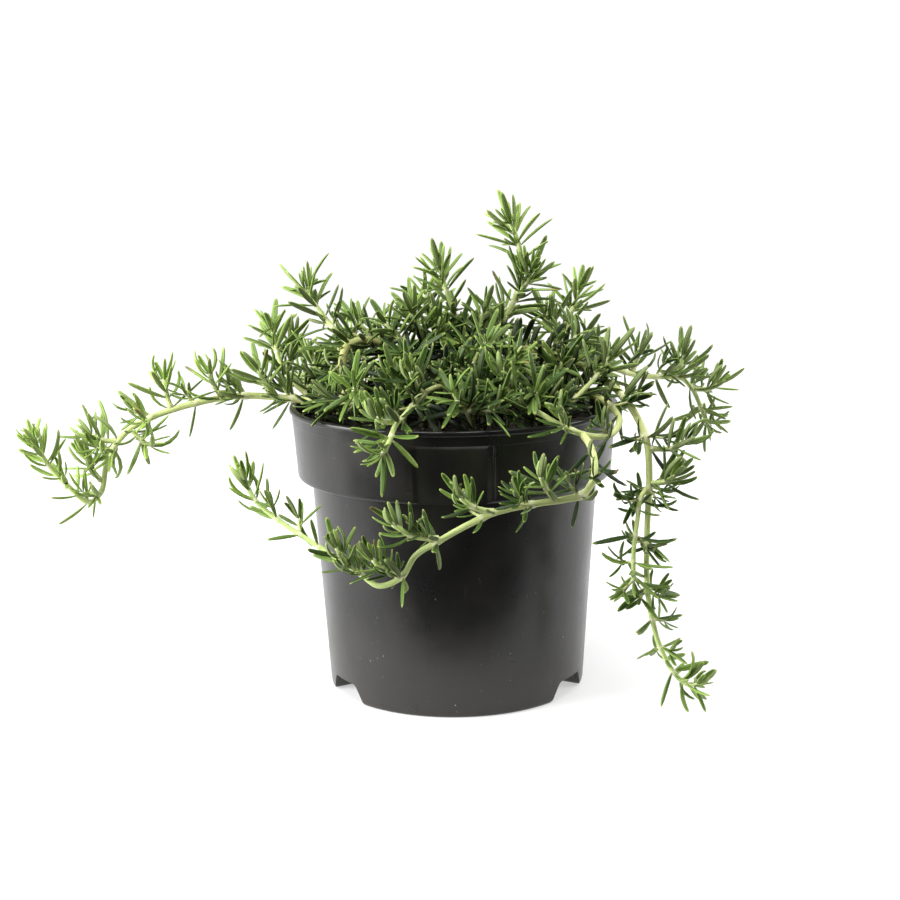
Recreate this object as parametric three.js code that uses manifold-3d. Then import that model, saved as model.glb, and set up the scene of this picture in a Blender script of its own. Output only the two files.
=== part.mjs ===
// A rosemary plant in a round plastic nursery pot.
//
// Frame: millimetres, +Z up. The origin is at the centre of the pot's underside, on the surface
// that the pot stands on. -Y is the front of the plant and +X its right-hand side.
//
// The pot is a thin turned shell with a stepped collar, a plain recessed panel on the front of
// the collar and three drain channels under the base. Potting soil fills it. Each leafy stem
// stands in a hole of its own in the soil. A stem's side shoots and its needle leaves grow
// from it, so they are one solid with it.

import * as THREE from "three";
import { mergeVertices } from "three/addons/utils/BufferGeometryUtils.js";
import Module from "manifold-3d";

const wasm = await Module();
wasm.setup();

// ---------------------------------------------------------------- driving dimensions

const pot = {
  height: 148.5,
  lipRadius: 85,
  lipHeight: 2.4,
  collarTopRadius: 84,
  collarFootRadius: 81.3,
  collarHeight: 36.4,
  collarEdge: 1.8, // rounding of the collar's lower edge
  bodyTopRadius: 74.3,
  bodyFootRadius: 66.7,
  footRadius: 64.6, // where the rounded base meets the surface
  footRise: 2.4, // height of that rounding
  collarWall: 2.2,
  bodyWall: 1.6,
  floor: 1.6,
  segments: 36,
};

const panel = { width: 35, height: 29, depth: 1.1, turn: -1 }; // degrees from the front

const channel = {
  angles: [60, 180, 300], // degrees round from the front
  mouthWidth: 33,
  topWidth: 21,
  height: 10,
  innerRadius: 42,
  drainRadius: 4,
  drainAt: 56,
};

const soil = { top: 137, bump: 1.6, clearance: 0.3, segments: 26 };

const stem = {
  sides: 4,
  tipRadius: 1.05,
  footDepth: 8, // how deep a stem stands in the soil
  footRise: 6.5, // how far it goes on straight up above the soil
  holeGap: 0.4, // round a stem's foot and under it
};

const leaf = {
  length: 16.5,
  width: 3,
  flatness: 0.56, // thickness over width of the section, before the ridge is counted
  pairSpacing: 14.2, // also between the rings of a stem's core
  pastRing: 0.12, // of that spacing, from a ring to its pair, so that leaves miss its edges
  rootWidth: 0.36, // of the full width, at the stem
  rootInset: 0.22, // of the core's radius, from its middle out to the root
  widestAt: 0.62, // of the length
  ownShare: 0.35, // of a leaf, at its root, that may touch leaves of its own stem
  gap: 0.35, // least distance between leaves of different stems
};

const smoothing = 0.05; // how far joined stems may move to shed the slivers of a join

// ---------------------------------------------------------------- colours

const colour = {
  potPlastic: new THREE.MeshStandardMaterial({ color: 0x35353a, roughness: 0.42, metalness: 0 }),
  pottingSoil: new THREE.MeshStandardMaterial({ color: 0x2b211a, roughness: 0.95, metalness: 0 }),
  foliage: new THREE.MeshStandardMaterial({ color: 0x4c7a38, roughness: 0.55, metalness: 0 }),
};

// ---------------------------------------------------------------- stems, by hand

// An axis is a route from its root to its tip, with the core's radius at both ends and the
// length at its root that carries no leaves. Its leaves lift towards the light by `lift`.
const axis = (route, radii, bare = 3, lift = 0.15) => ({ route, radii, bare, lift });

// A short side shoot from a point on its parent to its own tip, curving up as it grows.
function sprig(from, to, bare = 4) {
  const middle = from.map((value, i) => (value + to[i]) / 2);
  middle[2] -= 0.12 * Math.hypot(to[0] - from[0], to[1] - from[1], to[2] - from[2]);
  return axis([from, middle, to], [1.25, stem.tipRadius], bare);
}

// The vertical foot of a stem, from its lower end in the soil to clear above the soil.
const foot = (x, y) => [
  [x, y, soil.top - stem.footDepth],
  [x, y, soil.top],
  [x, y, soil.top + stem.footRise],
];

const routedStems = {
  stem_left_trail: [
    axis([...foot(-16, -5), [-20, -6, 156], [-29, -9, 173], [-42, -12, 183], [-53, -18, 181],
      [-56, -23, 171], [-54, -25, 160], [-59, -22, 153], [-70, -14, 152], [-83, -7, 152.5],
      [-110, -4, 154], [-141, -8, 149], [-166, -12, 139], [-178, -14, 124], [-182, -16, 107],
      [-188, -18, 102], [-197, -22, 111], [-206, -25, 123], [-212, -29, 137]],
    [2.3, stem.tipRadius], 112),
    axis([[-51, -17, 181], [-58, -15, 187], [-66, -12, 197], [-73, -10, 207], [-76, -8, 217]],
      [1.4, 0.8]),
    sprig([-92, -5, 153], [-101, -9, 172]),
    sprig([-119, -5, 153], [-126, -9, 170]),
    sprig([-145, -9, 148], [-150, -4, 167]),
    sprig([-166, -12, 139], [-152, -18, 130]),
    sprig([-172, -13, 133], [-190, -10, 138]),
    sprig([-181, -16, 112], [-192, -8, 128]),
  ],
  stem_front_trail: [
    axis([...foot(40, -22), [46, -24, 152], [60, -32, 158], [73, -42, 156], [81, -52, 148],
      [77, -60, 142], [69, -67, 142], [61, -72, 144.5], [51, -74, 149], [42, -71, 154],
      [33, -65, 158], [26, -61, 165], [21, -58, 174]], [1.9, stem.tipRadius], 78),
    axis([[61, -72, 144.5], [64, -79, 141], [66, -86, 134], [65, -91, 126], [60, -95, 120],
      [50, -98, 118], [40, -99, 117], [19, -100, 113], [4, -99, 106], [-8, -98, 99],
      [-19, -97, 92], [-26, -95, 81], [-37, -92, 76], [-47, -88, 82], [-66, -81, 93],
      [-83, -75, 103], [-97, -70, 114], [-103, -66, 127]], [1.6, stem.tipRadius], 30, 0.3),
    sprig([47, -98, 118], [38, -103, 134]),
    sprig([19, -100, 113], [-1, -104, 124]),
    sprig([-7, -98, 100], [-33, -102, 111]),
    sprig([-26, -95, 81], [-42, -99, 94]),
    sprig([-51, -87, 85], [-58, -91, 98]),
  ],
  stem_right_hanging: [
    axis([...foot(22, -10), [24, -8, 155], [27, -6, 168], [34, -7, 176], [45, -12, 176],
      [56, -18, 173], [67, -24, 169], [76, -32, 164], [84, -42, 157], [90, -50, 148],
      [94, -57, 137], [95, -60, 120], [94, -62, 95], [94, -64, 66], [97, -65, 47],
      [101, -65, 34], [109, -66, 20], [119, -67, 13]], [2.1, stem.tipRadius], 96, 0.3),
    axis([[94, -61, 115], [90, -67, 111], [88, -71, 100], [86, -75, 87], [86, -77, 68]],
      [1.1, stem.tipRadius], 6, 0.3),
    sprig([95, -58, 134], [116, -63, 140]),
    sprig([95, -60, 117], [110, -66, 124]),
  ],
  stem_right_back: [
    axis([...foot(30, 14), [37, 15, 154], [53, 18, 165], [72, 22, 166], [88, 28, 160],
      [101, 38, 155], [116, 52, 152], [126, 60, 150], [133, 66, 143], [138, 69, 133],
      [144, 73, 118]], [1.7, stem.tipRadius], 45),
    sprig([96, 34, 157], [101, 38, 174]),
    sprig([124, 58, 150], [127, 60, 166]),
    sprig([133, 66, 143], [151, 73, 146]),
  ],
  stem_tall: [
    axis([...foot(8, 8), [11, 6, 155], [16, 3, 167], [21, 2, 178], [26, 3, 189], [32, 4, 201],
      [36, 6, 214], [35, 6, 227], [31, 5, 239], [26, 4, 249]], [1.7, stem.tipRadius], 22),
    sprig([33, 4, 203], [42, 0, 218]),
  ],
  stem_centre_left: [
    axis([...foot(-5, 14), [-2, 10, 154], [3, 4, 168], [5, 0, 179], [3, -2, 189],
      [-1, -2, 201], [-5, -2, 214], [-7, -2, 228]], [1.5, stem.tipRadius], 20),
  ],
  stem_left_middle: [
    axis([...foot(-25, 11), [-22, 7, 153], [-17, 0, 168], [-15, -6, 182], [-19, -9, 193],
      [-24, -8, 206]], [1.5, stem.tipRadius], 18),
    sprig([-16, -4, 178], [-4, -14, 190]),
  ],
  stem_back_right_upright: [
    axis([...foot(35, 38), [41, 43, 153], [52, 53, 165], [61, 60, 176], [66, 63, 188],
      [70, 65, 199], [72, 66, 209]], [1.4, stem.tipRadius], 16),
    sprig([60, 59, 174], [50, 62, 188]),
  ],
  stem_left_back_upright: [
    axis([...foot(-66, 14), [-72, 14, 148], [-83, 16, 156], [-91, 19, 168], [-94, 21, 180],
      [-96, 22, 195]], [1.3, stem.tipRadius], 16),
    sprig([-88, 18, 164], [-84, 30, 178]),
  ],
  stem_left_upright: [
    axis([...foot(-60, 0), [-66, 1, 149], [-71, 3, 160], [-72, 4, 171], [-70, 5, 182]],
      [1.2, stem.tipRadius], 14),
  ],
  stem_front_left_upright: [
    axis([...foot(-30, -50), [-29, -52, 151], [-28, -54, 162], [-29, -53, 172],
      [-31, -51, 178]], [1.4, stem.tipRadius], 22),
  ],
  stem_over_front_rim: [
    axis([...foot(-6, -24), [-3, -32, 155], [-4, -41, 163], [-12, -51, 163], [-18, -61, 159.5],
      [-24, -74, 154.5], [-28, -84, 151.5], [-31, -93, 145], [-36, -98, 137]], [1.6, stem.tipRadius], 26),
    sprig([-15, -56, 162], [-22, -62, 178]),
    sprig([-26, -79, 153], [-40, -86, 158]),
  ],
  stem_right_upright: [
    axis([...foot(48, -44), [52, -46, 149], [60, -45, 157], [70, -38, 166], [77, -31, 174],
      [80, -28, 184]], [1.4, stem.tipRadius], 16),
  ],
};

// ---------------------------------------------------------------- stems, by rule

// A mound stem leans outwards from the crown and curves up again to its tip. Each row gives the
// direction it leans in and its foot's and tip's distance from the pot's axis, the tip's height
// and how far its tip swings round, in degrees and millimetres.
const moundStems = [
  [100, 22, 34, 206, 20],
  [215, 14, 40, 196, -15],
  [320, 8, 18, 200, 30],
  [62, 24, 52, 196, -10],
  [148, 31, 58, 193, 14],
  [178, 44, 62, 182, 8],
  [283, 24, 44, 188, 12],
  [292, 40, 62, 180, 10],
  [345, 46, 66, 186, 14],
  [20, 52, 84, 178, 10],
  [85, 46, 84, 182, 12],
  [118, 50, 96, 168, 14],
  [140, 58, 112, 146, -8],
  [60, 62, 104, 160, 8],
  [98, 66, 124, 132, 10],
  [222, 62, 78, 168, 10],
  [278, 66, 76, 164, -10],
  [308, 62, 78, 166, -8],
];

const radians = (degrees) => (degrees * Math.PI) / 180;

function moundAxes([direction, footAt, tipAt, tipHeight, swing]) {
  const rise = tipHeight - soil.top;
  const at = (share, distance, height) => {
    const angle = radians(direction + swing * share);
    return [distance * Math.cos(angle), distance * Math.sin(angle), soil.top + height];
  };
  const out = tipAt - footAt;
  const crest = Math.max(rise, 30);
  const [x, y] = at(0, footAt, 0);
  const low = at(0.2, footAt + 0.22 * out, Math.min(0.55 * crest, 24));
  const bend = at(0.55, footAt + 0.6 * out, 0.5 * (0.75 * crest + 0.75 * rise) + 2);
  const tip = at(1, tipAt, rise);
  const main = axis([...foot(x, y), low, bend, tip], [1.5, stem.tipRadius], 14);
  const side = at(-1.2, footAt + 0.85 * out, Math.max(0.72 * crest, 16));
  return [main, sprig(bend.map((value, i) => 0.4 * value + 0.6 * low[i]), side)];
}

// ---------------------------------------------------------------- shared helpers

// A seeded random number generator: the same plant grows every time.
function seeded(seed) {
  let state = seed >>> 0;
  return () => {
    state = (state + 0x6d2b79f5) >>> 0;
    let t = state;
    t = Math.imul(t ^ (t >>> 15), t | 1);
    t ^= t + Math.imul(t ^ (t >>> 7), t | 61);
    return ((t ^ (t >>> 14)) >>> 0) / 4294967296;
  };
}

const vector = ([x, y, z]) => new THREE.Vector3(x, y, z);

// A closed geometry as a solid that can be joined and cut.
function solid(geometry) {
  const bare = geometry.clone();
  bare.deleteAttribute("normal");
  bare.deleteAttribute("uv");
  const merged = mergeVertices(bare, 1e-4);
  return new wasm.Manifold(new wasm.Mesh({
    numProp: 3,
    vertProperties: new Float32Array(merged.attributes.position.array),
    triVerts: new Uint32Array(merged.index.array),
  }));
}

// The largest connected body of a solid: a scrap or a sealed hollow is left behind.
function mainBody(body) {
  const bodies = body.decompose();
  return bodies.reduce((best, next) => (next.volume() > best.volume() ? next : best));
}

function meshOf(name, body, material) {
  const { vertProperties, triVerts, numProp } = mainBody(body).getMesh();
  const count = vertProperties.length / numProp;
  const positions = new Float32Array(count * 3);
  for (let i = 0; i < count; i += 1) {
    for (let k = 0; k < 3; k += 1) positions[3 * i + k] = vertProperties[numProp * i + k];
  }
  const geometry = new THREE.BufferGeometry();
  geometry.setAttribute("position", new THREE.BufferAttribute(positions, 3));
  geometry.setIndex(Array.from(triVerts));
  geometry.computeVertexNormals();
  const mesh = new THREE.Mesh(geometry, material);
  mesh.name = name;
  return mesh;
}

// A profile of [radius, height] points turned round the Z axis.
function turned(profile, segments) {
  const points = profile.map(([radius, height]) => new THREE.Vector2(radius, height));
  return new THREE.LatheGeometry(points, segments).rotateX(Math.PI / 2);
}

// An outline in X and Z, extruded from y = 0 towards -Y.
function plate(outline, depth) {
  const shape = new THREE.Shape(outline.map(([x, z]) => new THREE.Vector2(x, z)));
  const geometry = new THREE.ExtrudeGeometry(shape, { depth, bevelEnabled: false });
  return geometry.rotateX(Math.PI / 2);
}

// ---------------------------------------------------------------- pot

const collarFoot = pot.height - pot.collarHeight;

// The wall's outer radius, without lip, at a height. The foliage keeps clear of it.
function outerRadius(height) {
  if (height > collarFoot) {
    const share = (height - collarFoot) / pot.collarHeight;
    return THREE.MathUtils.lerp(pot.collarFootRadius, pot.collarTopRadius, share);
  }
  return THREE.MathUtils.lerp(pot.bodyFootRadius, pot.bodyTopRadius, height / collarFoot);
}

const innerRadius = (height) => outerRadius(height)
  - (height > collarFoot ? pot.collarWall : pot.bodyWall);

function potOuterProfile() {
  const lipFoot = pot.height - pot.lipHeight;
  const edge = pot.collarEdge;
  return [
    [0, 0],
    [pot.footRadius, 0],
    [pot.footRadius + 1.5, 0.7],
    [outerRadius(pot.footRise), pot.footRise],
    [pot.bodyTopRadius, collarFoot],
    [pot.collarFootRadius - edge, collarFoot],
    [pot.collarFootRadius - 0.3 * edge, collarFoot + 0.3 * edge],
    [pot.collarFootRadius, collarFoot + edge],
    [outerRadius(lipFoot), lipFoot],
    [pot.lipRadius, lipFoot + 0.5],
    [pot.lipRadius, pot.height - 0.5],
    [pot.lipRadius - 0.5, pot.height],
  ];
}

function potInnerProfile() {
  const ledge = collarFoot + pot.bodyWall;
  return [
    [pot.collarTopRadius - pot.collarWall, pot.height],
    [innerRadius(ledge + 2), ledge + 2],
    [pot.bodyTopRadius - pot.bodyWall, ledge],
    [innerRadius(5), 5],
    [pot.footRadius - 2.5, pot.floor],
    [0, pot.floor],
  ];
}

// The wedge of space under the base that a drain channel takes, grown by `wall` on all sides.
function channelWedge(angle, wall) {
  const reach = pot.bodyFootRadius + 6 - channel.innerRadius + wall;
  const bottom = wall > 0 ? 0 : -1;
  const mouth = channel.mouthWidth / 2 + wall;
  const top = channel.topWidth / 2 + wall;
  const outline = [
    [-mouth, bottom],
    [mouth, bottom],
    [top, channel.height + wall],
    [-top, channel.height + wall],
  ];
  const wedge = plate(outline, reach);
  wedge.translate(0, -(channel.innerRadius - wall), 0);
  return wedge.rotateZ(radians(angle));
}

function drainHole(angle) {
  const height = 3 * channel.height;
  const hole = new THREE.CylinderGeometry(channel.drainRadius, channel.drainRadius, height, 10);
  hole.rotateX(Math.PI / 2);
  hole.translate(0, -channel.drainAt, channel.height);
  return hole.rotateZ(radians(angle));
}

// The hump that a channel makes on the pot's floor, kept inside the wall.
function channelHump(angle) {
  const inside = solid(turned([
    [0, 0],
    [pot.footRadius - 0.5, 0],
    [outerRadius(20) - 0.5, 20],
    [0, 20],
  ], pot.segments));
  return solid(channelWedge(angle, pot.floor)).intersect(inside);
}

// The plain panel let into the front of the collar, open at the collar's lower edge. Its floor
// follows the collar's slope.
function panelPocket() {
  const half = panel.width / 2;
  const [low, high] = [collarFoot - 1, collarFoot + panel.height];
  const [lowFloor, highFloor] = [
    pot.collarFootRadius - panel.depth,
    outerRadius(high) - panel.depth,
  ];
  const outside = pot.lipRadius + 5;
  const block = plate([[-half, low], [half, low], [half, high], [-half, high]], outside);
  const ring = turned([
    [lowFloor, low],
    [outside, low],
    [outside, high],
    [highFloor, high],
    [lowFloor, low],
  ], pot.segments);
  return solid(block).intersect(solid(ring)).rotate([0, 0, panel.turn]);
}

function makePot() {
  let body = solid(turned([...potOuterProfile(), ...potInnerProfile()], pot.segments));
  for (const angle of channel.angles) body = body.add(channelHump(angle));
  for (const angle of channel.angles) {
    body = body.subtract(solid(channelWedge(angle, 0)));
    body = body.subtract(solid(drainHole(angle)));
  }
  return meshOf("pot", body.subtract(panelPocket()), colour.potPlastic);
}

// ---------------------------------------------------------------- soil

// The soil's surface rises and falls a little, by a formula of the place.
function soilHeight(x, y) {
  const waves = Math.sin(0.11 * x + 0.6) * Math.cos(0.09 * y) + 0.6 * Math.sin(0.23 * (x - y));
  return soil.top + soil.bump * 0.5 * waves;
}

function soilFill() {
  const gap = soil.clearance;
  const ledge = collarFoot + pot.bodyWall + gap;
  const fill = turned([
    [0, pot.floor + gap],
    [pot.footRadius - 3.2, pot.floor + gap],
    [innerRadius(6) - gap, 6],
    [pot.bodyTopRadius - pot.bodyWall - 2 * gap, ledge],
    [innerRadius(ledge + 2) - 2 * gap, ledge + 2],
    [innerRadius(soil.top) - 2 * gap, soil.top - 0.5],
    [62, soil.top],
    [42, soil.top],
    [21, soil.top],
    [0, soil.top],
  ], soil.segments);
  const points = fill.attributes.position;
  for (let i = 0; i < points.count; i += 1) {
    const [x, y, z] = [points.getX(i), points.getY(i), points.getZ(i)];
    if (z > soil.top - 0.1) points.setZ(i, soilHeight(x, y));
  }
  return solid(fill);
}

// A plain hole, square like the stem that stands in it.
function stemHole([x, y, z], radius) {
  const depth = 3 * stem.footDepth;
  const width = 2 * (radius * Math.cos(Math.PI / stem.sides) + stem.holeGap);
  const hole = new THREE.BoxGeometry(width, width, depth);
  return solid(hole.translate(x, y, z - stem.holeGap + depth / 2));
}

function makeSoil(stems) {
  let body = soilFill();
  for (const angle of channel.angles) {
    body = body.subtract(solid(channelWedge(angle, pot.floor + 1.5 * soil.clearance)));
  }
  for (const [main] of Object.values(stems)) {
    body = body.subtract(stemHole(main.route[0], main.radii[0]));
  }
  return meshOf("soil", body, colour.pottingSoil);
}

// ---------------------------------------------------------------- leafy stems

// A route as a smooth curve, cut into straight lengths of one leaf pair each. The core round
// each length is a square frustum and neighbours meet in a mitre, so that its sides are flat.
function spine({ route, radii }) {
  const curve = new THREE.CatmullRomCurve3(route.map(vector), false, "centripetal");
  curve.arcLengthDivisions = 40 * route.length;
  const length = curve.getLength();
  const steps = Math.max(2, Math.round(length / leaf.pairSpacing));
  const centres = curve.getSpacedPoints(steps);
  const ways = [];
  for (let i = 0; i < steps; i += 1) ways.push(centres[i + 1].clone().sub(centres[i]).normalize());
  const radiusAt = (share) => THREE.MathUtils.lerp(radii[0], radii[1], share ** 0.7);
  return { length, steps, centres, ways, radiusAt, rings: coreRings(centres, ways, radiusAt) };
}

function firstRing(centre, way, radius) {
  const across = new THREE.Vector3(0, 1, 0).cross(way).normalize();
  const along = new THREE.Vector3().crossVectors(way, across);
  return Array.from({ length: stem.sides }, (_, side) => {
    const angle = ((side + 0.5) / stem.sides) * 2 * Math.PI;
    return centre.clone().addScaledVector(across, radius * Math.cos(angle))
      .addScaledVector(along, radius * Math.sin(angle));
  });
}

// Each ring's corners: the edges of the length before, run on to the mitre plane.
function coreRings(centres, ways, radiusAt) {
  const steps = ways.length;
  const rings = [firstRing(centres[0], ways[0], radiusAt(0))];
  for (let i = 1; i <= steps; i += 1) {
    const mitre = ways[i - 1].clone().add(ways[Math.min(i, steps - 1)]).normalize();
    const shrink = radiusAt(i / steps) / radiusAt((i - 1) / steps);
    rings.push(rings[i - 1].map((corner) => {
      const end = corner.clone().sub(centres[i - 1]).multiplyScalar(shrink).add(centres[i]);
      const edge = end.sub(corner);
      const reach = centres[i].clone().sub(corner).dot(mitre) / edge.dot(mitre);
      return corner.clone().addScaledVector(edge, reach);
    }));
  }
  return rings;
}

// The core's middle at a share of its length, the way the stem grows there, and the directions
// across it in which its flat sides face.
function frameAt({ centres, ways, rings, steps }, share) {
  const place = Math.min(share * steps, steps - 1e-6);
  const low = Math.floor(place);
  const forward = ways[low].clone();
  const ring = rings[low];
  const normal = ring[0].clone().add(ring[stem.sides - 1]).multiplyScalar(0.5).sub(centres[low]);
  normal.addScaledVector(forward, -normal.dot(forward)).normalize();
  return {
    middle: centres[low].clone().lerp(centres[low + 1], place - low),
    forward,
    normal,
    other: new THREE.Vector3().crossVectors(forward, normal),
  };
}

// The stem's square core: rings of corners joined by flat sides, closed at both ends.
function coreTube({ rings, steps }) {
  const sides = stem.sides;
  const faces = [];
  for (let ring = 0; ring < steps; ring += 1) {
    for (let side = 0; side < sides; side += 1) {
      const a = ring * sides + side;
      const b = ring * sides + ((side + 1) % sides);
      faces.push(a, b, b + sides, a, b + sides, a + sides);
    }
  }
  const last = steps * sides;
  for (let side = 1; side < sides - 1; side += 1) {
    faces.push(0, side + 1, side);
    faces.push(last, last + side, last + side + 1);
  }
  const tube = new THREE.BufferGeometry();
  const positions = rings.flat().flatMap((corner) => corner.toArray());
  tube.setAttribute("position", new THREE.Float32BufferAttribute(positions, 3));
  tube.setIndex(faces);
  return tube;
}

// Where the leaves of an axis grow: opposite pairs, each pair turned a quarter from the last.
function leafSites(line, { bare, lift }, random) {
  const sites = [];
  const first = random() < 0.5 ? 0 : 90;
  const leafless = Math.round(bare / leaf.pairSpacing);
  for (let ring = leafless; ring <= line.steps; ring += 1) {
    const atTip = ring === line.steps;
    const share = (ring + (atTip ? -leaf.pastRing : leaf.pastRing)) / line.steps;
    const youth = Math.max(0, share - 0.5) * 2;
    for (const half of [0, 180]) {
      const turn = first + 90 * ring + half + 12 * (random() - 0.5);
      const lean = (atTip ? 34 : 58 - 14 * youth) + 14 * (random() - 0.5);
      const long = leaf.length * (1 - 0.3 * youth ** 2) * (0.82 + 0.36 * random());
      sites.push({ share, turn, lean, long, lift });
    }
  }
  return sites;
}

// The line from root to tip of a leaf, and the way its upper side faces.
function leafLine(line, { share, turn, lean, long, lift }) {
  const { middle: root, forward, normal, other } = frameAt(line, share);
  const outward = normal.multiplyScalar(Math.cos(radians(turn)))
    .addScaledVector(other, Math.sin(radians(turn)));
  const direction = forward.clone().multiplyScalar(Math.cos(radians(lean)))
    .addScaledVector(outward, Math.sin(radians(lean)));
  direction.z += lift;
  direction.normalize();
  root.addScaledVector(outward, leaf.rootInset * line.radiusAt(share));
  return { root, direction, forward, tip: root.clone().addScaledVector(direction, long) };
}

// A three-sided needle with a ridge along its upper side.
const needleShape = (() => {
  const profile = [[0, 0], [leaf.rootWidth, 0], [1, leaf.widestAt], [0, 1]];
  return new THREE.LatheGeometry(profile.map(([r, y]) => new THREE.Vector2(r, y)), 3);
})();

function needle({ root, direction, forward }, long) {
  const upper = forward.clone().addScaledVector(direction, -forward.dot(direction));
  if (upper.lengthSq() < 1e-4) upper.set(0, 0, 1).addScaledVector(direction, -direction.z);
  upper.normalize();
  const across = new THREE.Vector3().crossVectors(direction, upper);
  const wide = leaf.width / Math.sqrt(3);
  const place = new THREE.Matrix4().makeBasis(
    across.multiplyScalar(wide),
    direction.clone().multiplyScalar(long),
    upper.multiplyScalar(wide * leaf.flatness),
  );
  return solid(needleShape.clone().applyMatrix4(place.setPosition(root)));
}

// ---------------------------------------------------------------- keeping clear

// The least distance between two line segments.
function segmentDistance(a, b, c, d) {
  const u = b.clone().sub(a);
  const v = d.clone().sub(c);
  const w = a.clone().sub(c);
  const [uu, uv, vv, uw, vw] = [u.dot(u), u.dot(v), v.dot(v), u.dot(w), v.dot(w)];
  const clamp = (value) => Math.min(1, Math.max(0, value));
  const cross = uu * vv - uv * uv;
  let s = cross > 1e-9 ? clamp((uv * vw - vv * uw) / cross) : 0;
  const t = clamp((uv * s + vw) / vv);
  s = clamp((uv * t - uw) / uu);
  return w.addScaledVector(u, s).addScaledVector(v, -t).length();
}

function clearOfPot(point, margin) {
  const distance = Math.hypot(point.x, point.y);
  if (point.z > pot.height + margin) return true;
  const outside = Math.max(outerRadius(point.z), point.z > collarFoot ? pot.lipRadius : 0);
  if (distance > outside + margin) return point.z > margin + 0.6;
  return point.z > soil.top + 1 + margin && distance < innerRadius(point.z) - margin;
}

// What already stands in the way, as lines with a radius and the stem that each belongs to.
const taken = [];

function isClear(owner, a, b, radius) {
  for (let i = 0; i <= 6; i += 1) {
    if (!clearOfPot(a.clone().lerp(b, 0.15 + (0.85 * i) / 6), radius)) return false;
  }
  const centre = a.clone().lerp(b, 0.5);
  const outer = a.clone().lerp(b, leaf.ownShare);
  const reach = a.distanceTo(b) / 2 + radius + leaf.gap;
  return taken.every((other) => {
    if (centre.distanceTo(other.centre) > reach + other.reach) return true;
    const least = radius + other.radius + leaf.gap;
    if (other.owner === owner) return segmentDistance(outer, b, other.outer, other.b) > least;
    return segmentDistance(a, b, other.a, other.b) > least;
  });
}

function take(owner, a, b, radius, ownShare = 0) {
  const centre = a.clone().lerp(b, 0.5);
  const outer = a.clone().lerp(b, ownShare);
  taken.push({ owner, a, b, outer, radius, centre, reach: a.distanceTo(b) / 2 + radius });
}

function takeCore(owner, line) {
  for (let ring = 0; ring < line.steps; ring += 1) {
    take(owner, line.centres[ring], line.centres[ring + 1], line.radiusAt(ring / line.steps));
  }
}

// A leaf that would cross another stem is bent round or raised until it is clear.
const bends = [[0, 0], [22, 0], [-22, 0], [0, -20], [0, 20], [40, -15], [-40, -15], [40, 20],
  [-40, 20]];

function clearLeaf(owner, line, site) {
  const radius = 0.42 * leaf.width;
  for (const [turn, lean] of bends) {
    const bent = { ...site, turn: site.turn + turn, lean: site.lean + lean };
    const placed = leafLine(line, bent);
    if (isClear(owner, placed.root, placed.tip, radius)) {
      take(owner, placed.root, placed.tip, radius, leaf.ownShare);
      return needle(placed, site.long);
    }
  }
  return null;
}

function makeStem(owner, axes, lines, seed) {
  const random = seeded(seed);
  const pieces = lines.map((line) => solid(coreTube(line)));
  lines.forEach((line, index) => {
    for (const site of leafSites(line, axes[index], random)) {
      const blade = clearLeaf(owner, line, site);
      if (blade) pieces.push(blade);
    }
  });
  const grown = wasm.Manifold.union(pieces).asOriginal();
  return meshOf(owner, grown.setTolerance(smoothing).simplify(smoothing), colour.foliage);
}

// ---------------------------------------------------------------- the plant

function allStems() {
  const stems = { ...routedStems };
  moundStems.forEach((row, index) => {
    stems[`stem_mound_${String(index + 1).padStart(2, "0")}`] = moundAxes(row);
  });
  return stems;
}

function makePlant() {
  const plant = new THREE.Group();
  const stems = allStems();
  const lines = Object.fromEntries(
    Object.entries(stems).map(([name, axes]) => [name, axes.map(spine)]),
  );
  for (const [name, spines] of Object.entries(lines)) {
    for (const line of spines) takeCore(name, line);
  }
  plant.add(makePot(), makeSoil(stems));
  Object.entries(stems).forEach(([name, axes], index) => {
    plant.add(makeStem(name, axes, lines[name], 100 + index));
  });
  return plant;
}

export default makePlant();
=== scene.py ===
"""A rosemary plant in a round black nursery pot, dressed for its picture.

Everything is in metres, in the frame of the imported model: the origin is at the centre of the
pot's underside, +Z is up, -Y is the front of the plant and +X its right-hand side.

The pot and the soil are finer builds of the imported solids. Each leafy stem replaces the packed
stem of the same route: its bark follows the route, and its leaf pairs stand where the packed
leaves stand. Trailing stems gather their pairs at fewer joints. Short side shoots with small
leaves grow in the corners of many leaves.
"""

import sys

import logging
import math
from collections.abc import Callable, Iterable, Sequence
from dataclasses import dataclass, field
from enum import Enum
from typing import Any

import bmesh
import bpy
from bmesh.types import BMesh
from bpy.types import Collection, Material, Mesh, Node, NodeTree, Object
from bpy.types import NodeSocket as Socket
from mathutils import Matrix, Quaternion, Vector, noise

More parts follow.
